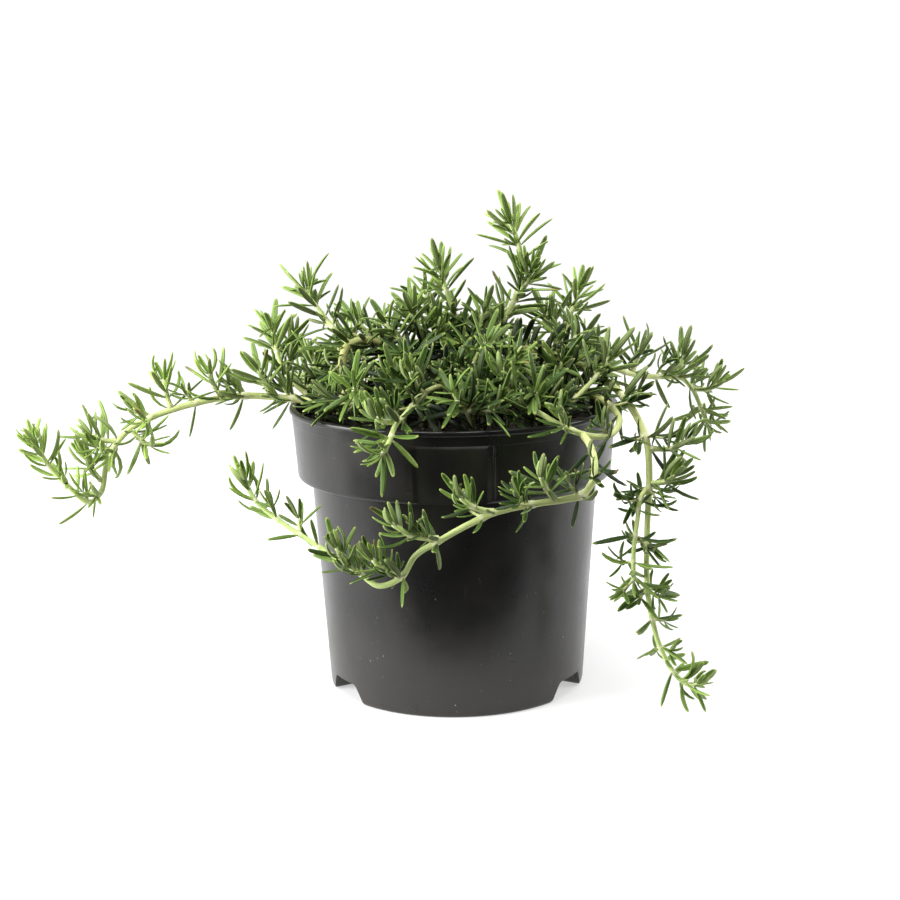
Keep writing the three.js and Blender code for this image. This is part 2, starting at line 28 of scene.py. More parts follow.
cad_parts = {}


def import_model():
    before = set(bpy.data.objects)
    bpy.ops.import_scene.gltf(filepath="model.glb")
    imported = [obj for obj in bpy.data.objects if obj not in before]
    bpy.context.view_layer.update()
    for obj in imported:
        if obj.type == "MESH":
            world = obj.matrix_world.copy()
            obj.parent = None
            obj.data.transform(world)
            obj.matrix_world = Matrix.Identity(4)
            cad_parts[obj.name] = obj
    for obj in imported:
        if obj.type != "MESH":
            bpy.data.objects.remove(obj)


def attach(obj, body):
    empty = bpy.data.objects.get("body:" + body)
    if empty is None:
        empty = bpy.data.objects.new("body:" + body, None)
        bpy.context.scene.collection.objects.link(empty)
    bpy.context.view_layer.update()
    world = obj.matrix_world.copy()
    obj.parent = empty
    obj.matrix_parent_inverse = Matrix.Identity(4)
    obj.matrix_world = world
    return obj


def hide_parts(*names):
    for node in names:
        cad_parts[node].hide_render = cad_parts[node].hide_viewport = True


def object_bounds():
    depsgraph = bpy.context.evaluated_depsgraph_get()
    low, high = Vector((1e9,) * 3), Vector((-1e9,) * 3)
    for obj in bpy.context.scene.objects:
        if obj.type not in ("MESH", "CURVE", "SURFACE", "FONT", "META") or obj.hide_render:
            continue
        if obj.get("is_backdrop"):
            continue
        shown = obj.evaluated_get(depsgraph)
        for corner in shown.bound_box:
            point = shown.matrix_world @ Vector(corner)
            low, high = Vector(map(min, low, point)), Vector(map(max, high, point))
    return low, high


SPARE = 0.022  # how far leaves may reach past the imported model's box, of each of its sides

Pair = tuple[float, float]
Point = tuple[float, float, float]
Colour = tuple[float, float, float, float]

MASK = 0xFFFFFFFF  # a whole number of 32 bits

log = logging.getLogger("rosemary")

# ---------------- sizes shared by several pieces

POT_HEIGHT = 0.1485
COLLAR_HEIGHT = 0.0364
COLLAR_FOOT = POT_HEIGHT - COLLAR_HEIGHT
LIP_RADIUS = 0.085
COLLAR_TOP_RADIUS = 0.084
COLLAR_FOOT_RADIUS = 0.0813
BODY_TOP_RADIUS = 0.0743
BODY_FOOT_RADIUS = 0.0667
COLLAR_WALL = 0.0022
BODY_WALL = 0.0016
CHANNEL_HEIGHT = 0.010
CHANNEL_ANGLES = (60.0, 180.0, 300.0)  # degrees round from the front
SOIL_TOP = 0.137

FOOT_DEPTH = 0.008  # how deep a stem stands in the soil
FOOT_RISE = 0.0065  # how far it then goes straight up
TIP_RADIUS = 0.00105
SPRIG_RADIUS = 0.00125
SPRIG_SAG = 0.12  # of its length
PAIR_SPACING = 0.0142
LEAF_LENGTH = 0.0165
LEAF_WIDTH = 0.0030
OPPOSITE = (0, 180)  # the turns of a pair's two leaves, in degrees
QUARTER = 90  # the turn from one pair to the next
STALK = (0.0, 0.25, 0.5, 0.75, 1.0)  # where a side shoot's stalk has its points

UP = Vector((0.0, 0.0, 1.0))


def outer_radius(height: float) -> float:
    """Gives the pot wall's outer radius, without its lip.

    Args:
        height: The height over the ground.

    Returns:
        The radius there.
    """
    if height > COLLAR_FOOT:
        share = (height - COLLAR_FOOT) / COLLAR_HEIGHT
        return COLLAR_FOOT_RADIUS + share * (COLLAR_TOP_RADIUS - COLLAR_FOOT_RADIUS)
    return BODY_FOOT_RADIUS + height / COLLAR_FOOT * (BODY_TOP_RADIUS - BODY_FOOT_RADIUS)


def inner_radius(height: float) -> float:
    """Gives the pot wall's inner radius at a height."""
    return outer_radius(height) - (COLLAR_WALL if height > COLLAR_FOOT else BODY_WALL)


# ---------------- stem routes


@dataclass(frozen=True)
class Axis:
    """One axis of a stem, from its root to its tip."""

    route: tuple[Point, ...]  # the points that it passes through
    radii: Pair  # at the root and at the tip
    bare: float = 0.003  # the length at its root that carries no leaf joints
    lift: float = 0.15  # how strongly its leaves rise towards the light
    leaf: float = 1.0  # how long its leaves are, of what is usual


def foot(x: float, y: float) -> tuple[Point, ...]:
    """Gives the vertical foot of a stem that stands in the soil at x, y."""
    return ((x, y, SOIL_TOP - FOOT_DEPTH), (x, y, SOIL_TOP), (x, y, SOIL_TOP + FOOT_RISE))


def mm(*points: Point) -> tuple[Point, ...]:
    """Gives points in metres from points in millimetres."""
    return tuple(tuple(value / 1000 for value in point) for point in points)


def sprig(start: Point, end: Point, leaf: float = 0.95) -> Axis:
    """Makes a short side shoot that sags a little on its way from its parent to its own tip.

    Args:
        start: Its root, on the parent.
        end: Its tip.
        leaf: How long its leaves are, of what is usual.

    Returns:
        The axis.
    """
    x, y, z = ((a + b) / 2 for a, b in zip(start, end))
    middle = (x, y, z - SPRIG_SAG * math.dist(start, end))
    return Axis((start, middle, end), (SPRIG_RADIUS, TIP_RADIUS), bare=0.004, leaf=leaf)


def sprigs(*ends: tuple[Point, Point], leaf: float = 0.95) -> tuple[Axis, ...]:
    """Makes side shoots from their roots and tips in millimetres."""
    return tuple(sprig(*mm(*pair), leaf) for pair in ends)


# The stems that can be told apart from the front.
ROUTED_STEMS: dict[str, tuple[Axis, ...]] = {
    "stem_left_trail": (
        Axis(foot(-0.016, -0.005) + mm((-20, -6, 156), (-29, -9, 173), (-42, -12, 183), (-53, -18, 181),
            (-56, -23, 171), (-54, -25, 160), (-59, -22, 153), (-70, -14, 152), (-83, -7, 152.5),
            (-110, -4, 154), (-141, -8, 149), (-166, -12, 139), (-178, -14, 124), (-182, -16, 107),
            (-188, -18, 102), (-197, -22, 111), (-206, -25, 123), (-212, -29, 137)), (0.0023, TIP_RADIUS),
            bare=0.112),
        Axis(mm((-51, -17, 181), (-58, -15, 187), (-66, -12, 197), (-73, -10, 207), (-76, -8, 217)),
            (0.0014, 0.0008)),
        *sprigs(((-92, -5, 153), (-101, -9, 172)), ((-119, -5, 153), (-126, -9, 170)), ((-145, -9, 148),
            (-150, -4, 167)), ((-166, -12, 139), (-152, -18, 130)), ((-172, -13, 133), (-190, -10, 138)),
            ((-181, -16, 112), (-192, -8, 128))),
    ),
    "stem_front_trail": (
        Axis(foot(0.04, -0.022) + mm((46, -24, 152), (60, -32, 158), (73, -42, 156), (81, -52, 148),
            (77, -60, 142), (69, -67, 142), (61, -72, 144.5), (51, -74, 149), (42, -71, 154),
            (33, -65, 158), (26, -61, 165), (21, -58, 174)), (0.0019, TIP_RADIUS), bare=0.078),
        Axis(mm((61, -72, 144.5), (64, -79, 141), (66, -86, 134), (65, -91, 126), (60, -95, 120),
            (50, -98, 118), (40, -99, 117), (19, -100, 113), (4, -99, 106), (-8, -98, 99), (-19, -97, 92),
            (-26, -95, 81), (-37, -92, 76), (-47, -88, 82), (-66, -81, 93), (-83, -75, 103),
            (-97, -70, 114), (-103, -66, 127)), (0.0016, TIP_RADIUS), bare=0.03, lift=0.3, leaf=0.9),
        *sprigs(((47, -98, 118), (38, -103, 134)), ((19, -100, 113), (-1, -104, 124)), ((-7, -98, 100),
            (-33, -102, 111)), ((-26, -95, 81), (-42, -99, 94)), ((-51, -87, 85), (-58, -91, 98)),
            leaf=0.78),
    ),
    "stem_right_hanging": (
        Axis(foot(0.022, -0.01) + mm((24, -8, 155), (27, -6, 168), (34, -7, 176), (45, -12, 176),
            (56, -18, 173), (67, -24, 169), (76, -32, 164), (84, -42, 157), (90, -50, 148), (94, -57, 137),
            (95, -60, 120), (94, -62, 95), (94, -64, 66), (97, -65, 47), (101, -65, 34), (109, -66, 20),
            (119, -67, 13)), (0.0021, TIP_RADIUS), bare=0.096, lift=0.3),
        Axis(mm((94, -61, 115), (90, -67, 111), (88, -71, 100), (86, -75, 87), (86, -77, 68)),
            (0.0011, TIP_RADIUS), bare=0.006, lift=0.3),
        *sprigs(((95, -58, 134), (116, -63, 140)), ((95, -60, 117), (110, -66, 124))),
    ),
    "stem_right_back": (
        Axis(foot(0.03, 0.014) + mm((37, 15, 154), (53, 18, 165), (72, 22, 166), (88, 28, 160),
            (101, 38, 155), (116, 52, 152), (126, 60, 150), (133, 66, 143), (138, 69, 133), (144, 73, 118)),
            (0.0017, TIP_RADIUS), bare=0.045),
        *sprigs(((96, 34, 157), (101, 38, 174)), ((124, 58, 150), (127, 60, 166)), ((133, 66, 143),
            (151, 73, 146))),
    ),
    "stem_tall": (
        Axis(foot(0.008, 0.008) + mm((11, 6, 155), (16, 3, 167), (21, 2, 178), (26, 3, 189),
            (32, 4, 201), (36, 6, 214), (35, 6, 227), (31, 5, 239), (26, 4, 249)), (0.0017, TIP_RADIUS),
            bare=0.022),
        *sprigs(((33, 4, 203), (42, 0, 218))),
    ),
    "stem_centre_left": (
        Axis(foot(-0.005, 0.014) + mm((-2, 10, 154), (3, 4, 168), (5, 0, 179), (3, -2, 189),
            (-1, -2, 201), (-5, -2, 214), (-7, -2, 228)), (0.0015, TIP_RADIUS), bare=0.02),
    ),
    "stem_left_middle": (
        Axis(foot(-0.025, 0.011) + mm((-22, 7, 153), (-17, 0, 168), (-15, -6, 182), (-19, -9, 193),
            (-24, -8, 206)), (0.0015, TIP_RADIUS), bare=0.018),
        *sprigs(((-16, -4, 178), (-4, -14, 190))),
    ),
    "stem_back_right_upright": (
        Axis(foot(0.035, 0.038) + mm((41, 43, 153), (52, 53, 165), (61, 60, 176), (66, 63, 188),
            (70, 65, 199), (72, 66, 209)), (0.0014, TIP_RADIUS), bare=0.016),
        *sprigs(((60, 59, 174), (50, 62, 188))),
    ),
    "stem_left_back_upright": (
        Axis(foot(-0.066, 0.014) + mm((-72, 14, 148), (-83, 16, 156), (-91, 19, 168), (-94, 21, 180),
            (-96, 22, 195)), (0.0013, TIP_RADIUS), bare=0.016),
        *sprigs(((-88, 18, 164), (-84, 30, 178))),
    ),
    "stem_left_upright": (
        Axis(foot(-0.06, 0.0) + mm((-66, 1, 149), (-71, 3, 160), (-72, 4, 171), (-70, 5, 182)),
            (0.0012, TIP_RADIUS), bare=0.014),
    ),
    "stem_front_left_upright": (
        Axis(foot(-0.03, -0.05) + mm((-29, -52, 151), (-28, -54, 162), (-29, -53, 172),
            (-31, -51, 178)), (0.0014, TIP_RADIUS), bare=0.022),
    ),
    "stem_over_front_rim": (
        Axis(foot(-0.006, -0.024) + mm((-3, -32, 155), (-4, -41, 163), (-12, -51, 163),
            (-18, -61, 159.5), (-24, -74, 154.5), (-28, -84, 151.5), (-31, -93, 145), (-36, -98, 137)),
            (0.0016, TIP_RADIUS), bare=0.026, leaf=1.12),
        *sprigs(((-15, -56, 162), (-22, -62, 178)), ((-26, -79, 153), (-40, -86, 158))),
    ),
    "stem_right_upright": (
        Axis(foot(0.048, -0.044) + mm((52, -46, 149), (60, -45, 157), (70, -38, 166), (77, -31, 174),
            (80, -28, 184)), (0.0014, TIP_RADIUS), bare=0.016),
    ),
}


@dataclass(frozen=True)
class MoundStem:
    """A stem of the crown that leans outwards and curves up again to its tip."""

    direction: float  # the way it leans, in degrees round from the right
    foot_at: float  # its foot's distance from the pot's axis
    tip_at: float  # its tip's distance from the pot's axis
    tip_height: float
    swing: float  # how far its tip swings round, in degrees

    def at(self, share: float, distance: float, height: float) -> Point:
        """Gives a point at a share of the swing, a distance out and a height over the soil."""
        angle = math.radians(self.direction + self.swing * share)
        return (distance * math.cos(angle), distance * math.sin(angle), SOIL_TOP + height)

    def axes(self) -> tuple[Axis, ...]:
        """Works out the main axis and its side shoot.

        Returns:
            The two axes.
        """
        rise = self.tip_height - SOIL_TOP
        out = self.tip_at - self.foot_at
        crest = max(rise, 0.030)
        x, y, _ = self.at(0.0, self.foot_at, 0.0)
        low = self.at(0.2, self.foot_at + 0.22 * out, min(0.55 * crest, 0.024))
        half_way = 0.5 * (0.75 * crest + 0.75 * rise) + 0.002
        bend = self.at(0.55, self.foot_at + 0.6 * out, half_way)
        tip = self.at(1.0, self.tip_at, rise)
        main = Axis((*foot(x, y), low, bend, tip), (0.0015, TIP_RADIUS), bare=0.014)
        side = self.at(-1.2, self.foot_at + 0.85 * out, max(0.72 * crest, 0.016))
        root = tuple(0.4 * b + 0.6 * a for a, b in zip(low, bend))
        return main, sprig(root, side)


MOUND_STEMS = (
    MoundStem(100, 0.022, 0.034, 0.206, 20), MoundStem(215, 0.014, 0.040, 0.196, -15),
    MoundStem(320, 0.008, 0.018, 0.200, 30), MoundStem(62, 0.024, 0.052, 0.196, -10),
    MoundStem(148, 0.031, 0.058, 0.193, 14), MoundStem(178, 0.044, 0.062, 0.182, 8),
    MoundStem(283, 0.024, 0.044, 0.188, 12), MoundStem(292, 0.040, 0.062, 0.180, 10),
    MoundStem(345, 0.046, 0.066, 0.186, 14), MoundStem(20, 0.052, 0.084, 0.178, 10),
    MoundStem(85, 0.046, 0.084, 0.182, 12), MoundStem(118, 0.050, 0.096, 0.168, 14),
    MoundStem(140, 0.058, 0.112, 0.146, -8), MoundStem(60, 0.062, 0.104, 0.160, 8),
    MoundStem(98, 0.066, 0.124, 0.132, 10), MoundStem(222, 0.062, 0.078, 0.168, 10),
    MoundStem(278, 0.066, 0.076, 0.164, -10), MoundStem(308, 0.062, 0.078, 0.166, -8),
)


def all_stems() -> dict[str, tuple[Axis, ...]]:
    """Gives the axes of every stem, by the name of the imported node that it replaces."""
    mound = {f"stem_mound_{i:02d}": row.axes() for i, row in enumerate(MOUND_STEMS, start=1)}
    return {**ROUTED_STEMS, **mound}


# ---------------- lines and draws


class Draws:
    """A seeded source of random numbers (mulberry32), the same on every run."""

    def __init__(self, seed: int) -> None:
        """Starts the source at a seed."""
        self.state = seed & MASK

    def share(self) -> float:
        """Moves on to the next number.

        Returns:
            The number, from 0 to 1.
        """
        self.state = (self.state + 0x6D2B79F5) & MASK
        t = self.state
        t = ((t ^ (t >> 15)) * (t | 1)) & MASK
        t ^= (t + ((t ^ (t >> 7)) * (t | 61))) & MASK
        return ((t ^ (t >> 14)) & MASK) / (MASK + 1)

    def between(self, low: float, high: float) -> float:
        """Gives the next number from low to high."""
        return low + (high - low) * self.share()

    def wobble(self, spread: float) -> float:
        """Gives the next number from -spread to spread."""
        return self.between(-spread, spread)


def catmull_rom(route: Sequence[Point], steps: int) -> list[Vector]:
    """Samples the centripetal Catmull-Rom curve through a route.

    Args:
        route: The points that it passes through.
        steps: The samples from one point to the next.

    Returns:
        The samples, from the first point to the last.
    """
    points = [Vector(p) for p in route]
    points.insert(0, 2 * points[0] - points[1])
    points.append(2 * points[-1] - points[-2])
    samples = [points[1]]
    for p0, p1, p2, p3 in zip(points, points[1:], points[2:], points[3:]):
        gaps = [(b - a).length ** 0.5 for a, b in ((p0, p1), (p1, p2), (p2, p3))]
        leave = (p1 - p0) / gaps[0] - (p2 - p0) / (gaps[0] + gaps[1]) + (p2 - p1) / gaps[1]
        arrive = (p2 - p1) / gaps[1] - (p3 - p1) / (gaps[1] + gaps[2]) + (p3 - p2) / gaps[2]
        leave, arrive = leave * gaps[1], arrive * gaps[1]
        square = 3 * (p2 - p1) - 2 * leave - arrive
        cube = 2 * (p1 - p2) + leave + arrive
        for step in range(1, steps + 1):
            t = step / steps
            samples.append(p1 + t * (leave + t * (square + t * cube)))
    return samples


@dataclass
class Station:
    """A place on a line: its middle, the way the line runs and two directions across it."""

    middle: Vector
    forward: Vector
    normal: Vector

    @property
    def other(self) -> Vector:
        """Gives the second direction across the line."""
        return self.forward.cross(self.normal)

    def outward(self, turn: float) -> Vector:
        """Gives the direction across the line at a turn in degrees."""
        angle = math.radians(turn)
        return math.cos(angle) * self.normal + math.sin(angle) * self.other


class Line:
    """A smooth line along an axis, with a frame that turns as little as it can."""

    STEPS = 16  # from one point of the route to the next
    MOST_TRIM = 0.16  # of the whole length

    def __init__(self, axis: Axis, trim: float = 0.0) -> None:
        """Samples an axis and carries the frame along it.

        Args:
            axis: The axis.
            trim: How much before the end of the axis the stem itself ends.
        """
        self.axis = axis
        self.trim = trim
        self.samples = catmull_rom(axis.route, self.STEPS)
        self.lengths = [0.0]
        for a, b in zip(self.samples, self.samples[1:]):
            self.lengths.append(self.lengths[-1] + (b - a).length)
        self.ways = [(b - a).normalized() for a, b in zip(self.samples, self.samples[1:])]
        self.ways.append(self.ways[-1])
        normal = Vector((0.0, 1.0, 0.0)).cross(self.ways[0]).normalized()
        self.normals = []
        for way in self.ways:
            normal = (normal - way * normal.dot(way)).normalized()
            self.normals.append(normal)

    @property
    def length(self) -> float:
        """Gives the length of the line that the stem takes."""
        return self.lengths[-1] - min(self.trim, self.MOST_TRIM * self.lengths[-1])

    def radius_at(self, share: float) -> float:
        """Gives the stem's radius at a share of the length."""
        root, tip = self.axis.radii
        return root + (tip - root) * min(1.0, max(0.0, share))

    def at(self, share: float) -> Station:
        """Finds the station at a share of the length.

        Args:
            share: From 0 at the root to 1 at the tip.

        Returns:
            The station there.
        """
        goal = min(max(share, 0.0), 1.0) * self.length
        low, high = 0, len(self.lengths) - 1
        while high - low > 1:
            half = (low + high) // 2
            low, high = (half, high) if self.lengths[half] <= goal else (low, half)
        span = self.lengths[high] - self.lengths[low]
        part = (goal - self.lengths[low]) / span if span > 0 else 0.0
        way = self.ways[low].lerp(self.ways[high], part).normalized()
        normal = self.normals[low].lerp(self.normals[high], part)
        normal = (normal - way * normal.dot(way)).normalized()
        return Station(self.samples[low].lerp(self.samples[high], part), way, normal)


# ---------------- leaf shapes


@dataclass(frozen=True)
class LeafShape:
    """How one of the leaf shapes bends."""

    bend: float  # how far it curls from root to tip, in degrees; over its back where negative
    sway: float  # how far it curves to one side, in degrees
    twist: float  # how far it turns about its own line, in degrees
    blunt: float  # its width near the tip, of its full width


LEAF_SHAPES = (
    LeafShape(-36, 5, 8, 0.80), LeafShape(-20, -6, -10, 0.86), LeafShape(-7, 4, 6, 0.82),
    LeafShape(6, -3, -6, 0.88), LeafShape(20, 6, 12, 0.82), LeafShape(38, -5, -8, 0.80),
    LeafShape(60, 7, 10, 0.84), LeafShape(84, -6, -10, 0.80),
)


def arc(angle: float) -> Pair:
    """Works out where an arc of length 1 ends.

    Args:
        angle: How far it bends, in radians.

    Returns:
        How far it reaches onward, and to the side.
    """
    if abs(angle) < 1e-4:
        return 1.0, 0.5 * angle
    return math.sin(angle) / angle, (1 - math.cos(angle)) / angle


class LeafBlade:
    """A leaf with a groove along its top and its edges rolled under.

    Its own mesh runs along +Y from its root, with its upper side towards +Z. It is LEAF_LENGTH
    long and LEAF_WIDTH wide before it is placed.
    """

    # across, height, and where it lies from the upper side (0) to the under side (1)
    SECTION = (
        (0.0, 0.16, 0.0), (0.5, 0.40, 0.0), (1.0, 0.0, 0.5), (0.68, -0.42, 1.0),
        (0.0, -0.14, 1.0), (-0.68, -0.42, 1.0), (-1.0, 0.0, 0.5), (-0.5, 0.40, 0.0),
    )
    SEAM = 4  # the section's point where the leaf's map is cut open
    STRIP = (0.05, 0.95)  # the part of its map that the sides fill; the ends get the rest

    def __init__(self, shape: LeafShape) -> None:
        """Takes the shape and works out its widths from root to tip."""
        self.shape = shape
        self.stations = (
            (0.0, 0.32), (0.10, 0.56), (0.30, 0.88), (0.54, 1.0), (0.78, shape.blunt + 0.02),
            (0.93, 0.64), (1.0, 0.22),
        )

    def place(self, along: float, across: float, height: float) -> Vector:
        """Bends a point of the flat leaf.

        Args:
            along: From 0 at the root to 1 at the tip.
            across: Its distance from the middle line, in metres.
            height: Its distance above the flat, in metres.

        Returns:
            Its place on the bent leaf.
        """
        bend = math.radians(self.shape.bend)
        sway = math.radians(self.shape.sway)
        onward, upward = arc(bend * along)
        middle = along * LEAF_LENGTH * Vector((0.5 * sway * along, onward, upward))
        turn = Matrix.Rotation(bend * along, 3, "X") @ Matrix.Rotation(-sway * along, 3, "Z")
        twist = Matrix.Rotation(math.radians(self.shape.twist) * along, 3, "Y")
        return middle + turn @ twist @ Vector((across, 0.0, height))

    def build(self, name: str) -> Object:
        """Builds the leaf's mesh, with its own map and the attribute that its finish reads.

        Args:
            name: The object's name.

        Returns:
            The object, in no collection.
        """
        half = LEAF_WIDTH / 2
        sides = len(self.SECTION)
        body = bmesh.new()
        map_layer = body.loops.layers.uv.new("UVMap")
        blade_layer = body.verts.layers.float_vector.new("blade")
        rings = []
        for along, width in self.stations:
            ring = []
            for across, height, under in self.SECTION:
                vertex = body.verts.new(self.place(along, across * width * half, height * width * half))
                vertex[blade_layer] = Vector((across, along, under))
                ring.append(vertex)
            rings.append(ring)
        low, high = self.STRIP
        spans = zip(self.stations, self.stations[1:], rings, rings[1:])
        for (start, _), (end, _), ring, following in spans:
            for side in range(sides):
                after = (side + 1) % sides
                face = body.faces.new((ring[side], ring[after], following[after], following[side]))
                around = ((side - self.SEAM) % sides) / sides
                beyond = around + 1 / sides
                starts, ends = (low + (high - low) * share for share in (start, end))
                corners = ((starts, around), (starts, beyond), (ends, beyond), (ends, around))
                for loop, corner in zip(face.loops, corners):
                    loop[map_layer].uv = corner
        for ring, centre in ((rings[0][::-1], 0.02), (rings[-1], 0.98)):
            for index, loop in enumerate(body.faces.new(ring).loops):
                angle = 2 * math.pi * index / sides
                loop[map_layer].uv = (centre + 0.015 * math.cos(angle), 0.5 + 0.04 * math.sin(angle))
        for face in body.faces:
            face.smooth = True
        bmesh.ops.recalc_face_normals(body, faces=body.faces)
        mesh = bpy.data.meshes.new(name)
        body.to_mesh(mesh)
        body.free()
        return bpy.data.objects.new(name, mesh)


def leaf_collection() -> Collection:
    """Builds every leaf shape.

    Returns:
        A collection of them, which is in no scene.
    """
    collection = bpy.data.collections.new("leaf_shapes")
    for index, shape in enumerate(LEAF_SHAPES):
        collection.objects.link(LeafBlade(shape).build(f"leaf_shape_{index}"))
    return collection


# ---------------- how the plant grows


@dataclass
class Leaf:
    """One leaf in its place."""

    root: Vector
    along: Vector  # the way it leaves the stem
    upper: Vector  # the way its upper side faces
    length: float
    width: float
    shape: int  # which of the leaf shapes it has
    age: float  # from 0, old and dark, to 1, young and bright, with painted shade and painted light added in

    def turn(self) -> Quaternion:
        """Gives the turn that brings a leaf shape into this leaf's place."""
        across = self.along.cross(self.upper)
        return Matrix((across, self.along, self.upper)).transposed().to_quaternion()

    def point(self, share: float) -> Vector:
        """Gives the middle of the leaf at a share of its length."""
        onward, upward = arc(math.radians(LEAF_SHAPES[self.shape].bend) * share)
        return self.root + self.length * share * (onward * self.along + upward * self.upper)


@dataclass
class Twig:
    """A stem or a side shoot's stalk, as points with a thickness."""

    points: list[Vector]
    radii: list[float]  # at each point
    joints: list[float]  # how near each point is to a leaf joint, from 0 to 1
    age: Pair  # at its root and its tip, from 0, old and woody, to 1, young; a side shoot's tip also carries painted light and shade


@dataclass
class Room:
    """What the leaves keep clear of: the pot, the soil, the ground and each other.

    They also keep between the lowest and the highest corner that the plant may reach.
    """

    low: Vector
    high: Vector
    cell: float = 0.004  # of the grid that the taken points are kept in
    leaf_gap: float = 0.0016
    pot_gap: float = 0.0017
    ground_gap: float = 0.0006  # more than from the pot
    line_step: float = 0.003
    line_reach: float = 0.0008  # how thick a stem counts as, from its middle line
    taken: dict[tuple[int, int, int], list[tuple[Vector, float]]] = field(default_factory=dict)

    def key(self, point: Vector) -> tuple[int, int, int]:
        """Gives the cell that a point lies in."""
        return tuple(math.floor(value / self.cell) for value in point)

    def take(self, points: Iterable[Vector], reach: float = 0.0) -> None:
        """Marks points as taken, with the reach that others keep from them."""
        for point in points:
            self.taken.setdefault(self.key(point), []).append((point, reach))

    def take_line(self, line: Line) -> None:
        """Marks a stem's own line as taken."""
        count = max(2, round(line.length / self.line_step))
        self.take([line.at(i / count).middle for i in range(count + 1)], self.line_reach)

    def outside_pot(self, point: Vector, margin: float) -> bool:
        """Says whether a point is clear of the pot, the soil and the ground by a margin.

        Args:
            point: The point.
            margin: The margin in metres.

        Returns:
            Whether it is clear.
        """
        if point.z > POT_HEIGHT + margin:
            return True
        distance = math.hypot(point.x, point.y)
        rim = LIP_RADIUS if point.z > COLLAR_FOOT - margin else 0.0
        if distance > max(outer_radius(point.z), rim) + margin:
            return point.z > margin + self.ground_gap
        return point.z > SOIL_TOP + margin and distance < inner_radius(point.z) - margin

    def clearance(self, leaf: Leaf) -> float:
        """Measures how far a leaf's outer half keeps from what is taken, up to the gap.

        Args:
            leaf: The leaf to try.

        Returns:
            The least distance in metres, or -1 where the leaf meets the pot or the ground.
        """
        points = [leaf.point(share) for share in (0.3, 0.6, 0.85, 1.0)]
        if not all(self.outside_pot(point, self.pot_gap) for point in points):
            return -1.0
        if any(not low < at < high for low, at, high in zip(self.low, points[-1], self.high)):
            return -1.0
        least = self.leaf_gap
        near = (-1, 0, 1)
        for point in (leaf.point(share) for share in (0.5, 0.75, 1.0)):
            x, y, z = self.key(point)
            for key in ((x + i, y + j, z + k) for i in near for j in near for k in near):
                for other, reach in self.taken.get(key, ()):
                    least = min(least, (other - point).length - reach)
        return max(least, 0.0)

    def settle(self, choices: Iterable[Leaf]) -> Leaf | None:
        """Takes the first choice that is clear, or the clearest.

        Args:
            choices: The same leaf, bent in different ways, the best liked first.

        Returns:
            The leaf that was taken, or None where each choice meets the pot or the ground.
        """
        best, most = None, -0.5
        for leaf in choices:
            clear = self.clearance(leaf)
            if clear > most:
                best, most = leaf, clear
            if clear >= self.leaf_gap:
                break
        if best:
            self.take(best.point(share) for share in (0.4, 0.55, 0.7, 0.85, 1.0))
        return best


@dataclass(frozen=True)
class Seat:
    """Where a leaf stands on a line, and what it is like."""

    station: Station
    inset: float  # how far out from the line's middle its root is
    lift: float  # how strongly it rises towards the light
    uprightness: float  # how much its upper side faces up
    length: float
    width: float
    shape: int
    # it also carries painted light and shade
    age: float
    roll: float  # how far it is turned about its own line, in degrees

    def leaf(self, turn: float, lean: float) -> Leaf:
        """Places the leaf.

        Args:
            turn: Its direction round the line, in degrees.
            lean: How far it leans away from the line, in degrees.

        Returns:
            The leaf.
        """
        forward, middle = self.station.forward, self.station.middle
        outward = self.station.outward(turn)
        angle = math.radians(lean)
        along = math.cos(angle) * forward + math.sin(angle) * outward
        along = (along + self.lift * (1 - 0.7 * max(0.0, -forward.z)) * UP).normalized()
        side = Vector((middle.x, middle.y, 0.0)).normalized()
        facing = forward.lerp((UP + 0.45 * side).normalized(), self.uprightness)
        upper = facing - facing.dot(along) * along
        if upper.length < 0.05:  # it points the way it would face
            upper = outward - outward.dot(along) * along
        upper = Quaternion(along, math.radians(self.roll)) @ upper.normalized()
        root = middle + self.inset * outward
        return Leaf(root, along, upper, self.length, self.width, self.shape, self.age)


@dataclass(frozen=True)
class Manner:
    """How the leaves of one kind of stem stand."""

    gather: float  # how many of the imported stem's leaf pairs come to one leaf joint
    leans: Point  # how far old, young and topmost leaves lean away from the stem, in degrees
    leaf: Pair  # the length of leaves at the root and at the tip, of the full length
    small: Pair  # the least and greatest length of a side shoot's leaves, of the full length
    shoot: Pair  # the least and greatest length of a side shoot's stalk
    vigour: float  # how many of the side shoots grow, and how strongly
    close_from: float  # from here on, 0 half-way and 1 at the tip, pairs also stand between joints
    uprightness: float  # how much the upper side faces up, rather than along the stem
    trim: float  # how much shorter the stem is than its line, so that its leaves end where that ends
    shapes: tuple[int, ...]  # the leaf shapes that it draws from


class Habit(Enum):
    """The kinds of stem."""

    UPRIGHT = Manner(
        gather=1.0, leans=(66, 56, 38), leaf=(1.45, 1.28), small=(0.42, 0.80), shoot=(0.0012, 0.005),
        vigour=0.80, close_from=-0.3, uprightness=0.15, trim=0.0095, shapes=(0, 1, 1, 2, 2, 3, 4),
    )
    CROWN = Manner(
        gather=1.0, leans=(82, 70, 52), leaf=(1.42, 1.24), small=(0.55, 0.95), shoot=(0.002, 0.008),
        vigour=0.55, close_from=0.3, uprightness=0.5, trim=0.004, shapes=(0, 0, 1, 1, 2, 2, 3),
    )
    TRAILING = Manner(
        gather=1.75, leans=(70, 60, 50), leaf=(1.34, 1.08), small=(0.50, 0.92), shoot=(0.004, 0.012),
        vigour=0.72, close_from=0.72, uprightness=0.72, trim=0.003, shapes=(2, 3, 4, 4, 5, 6, 7),
    )


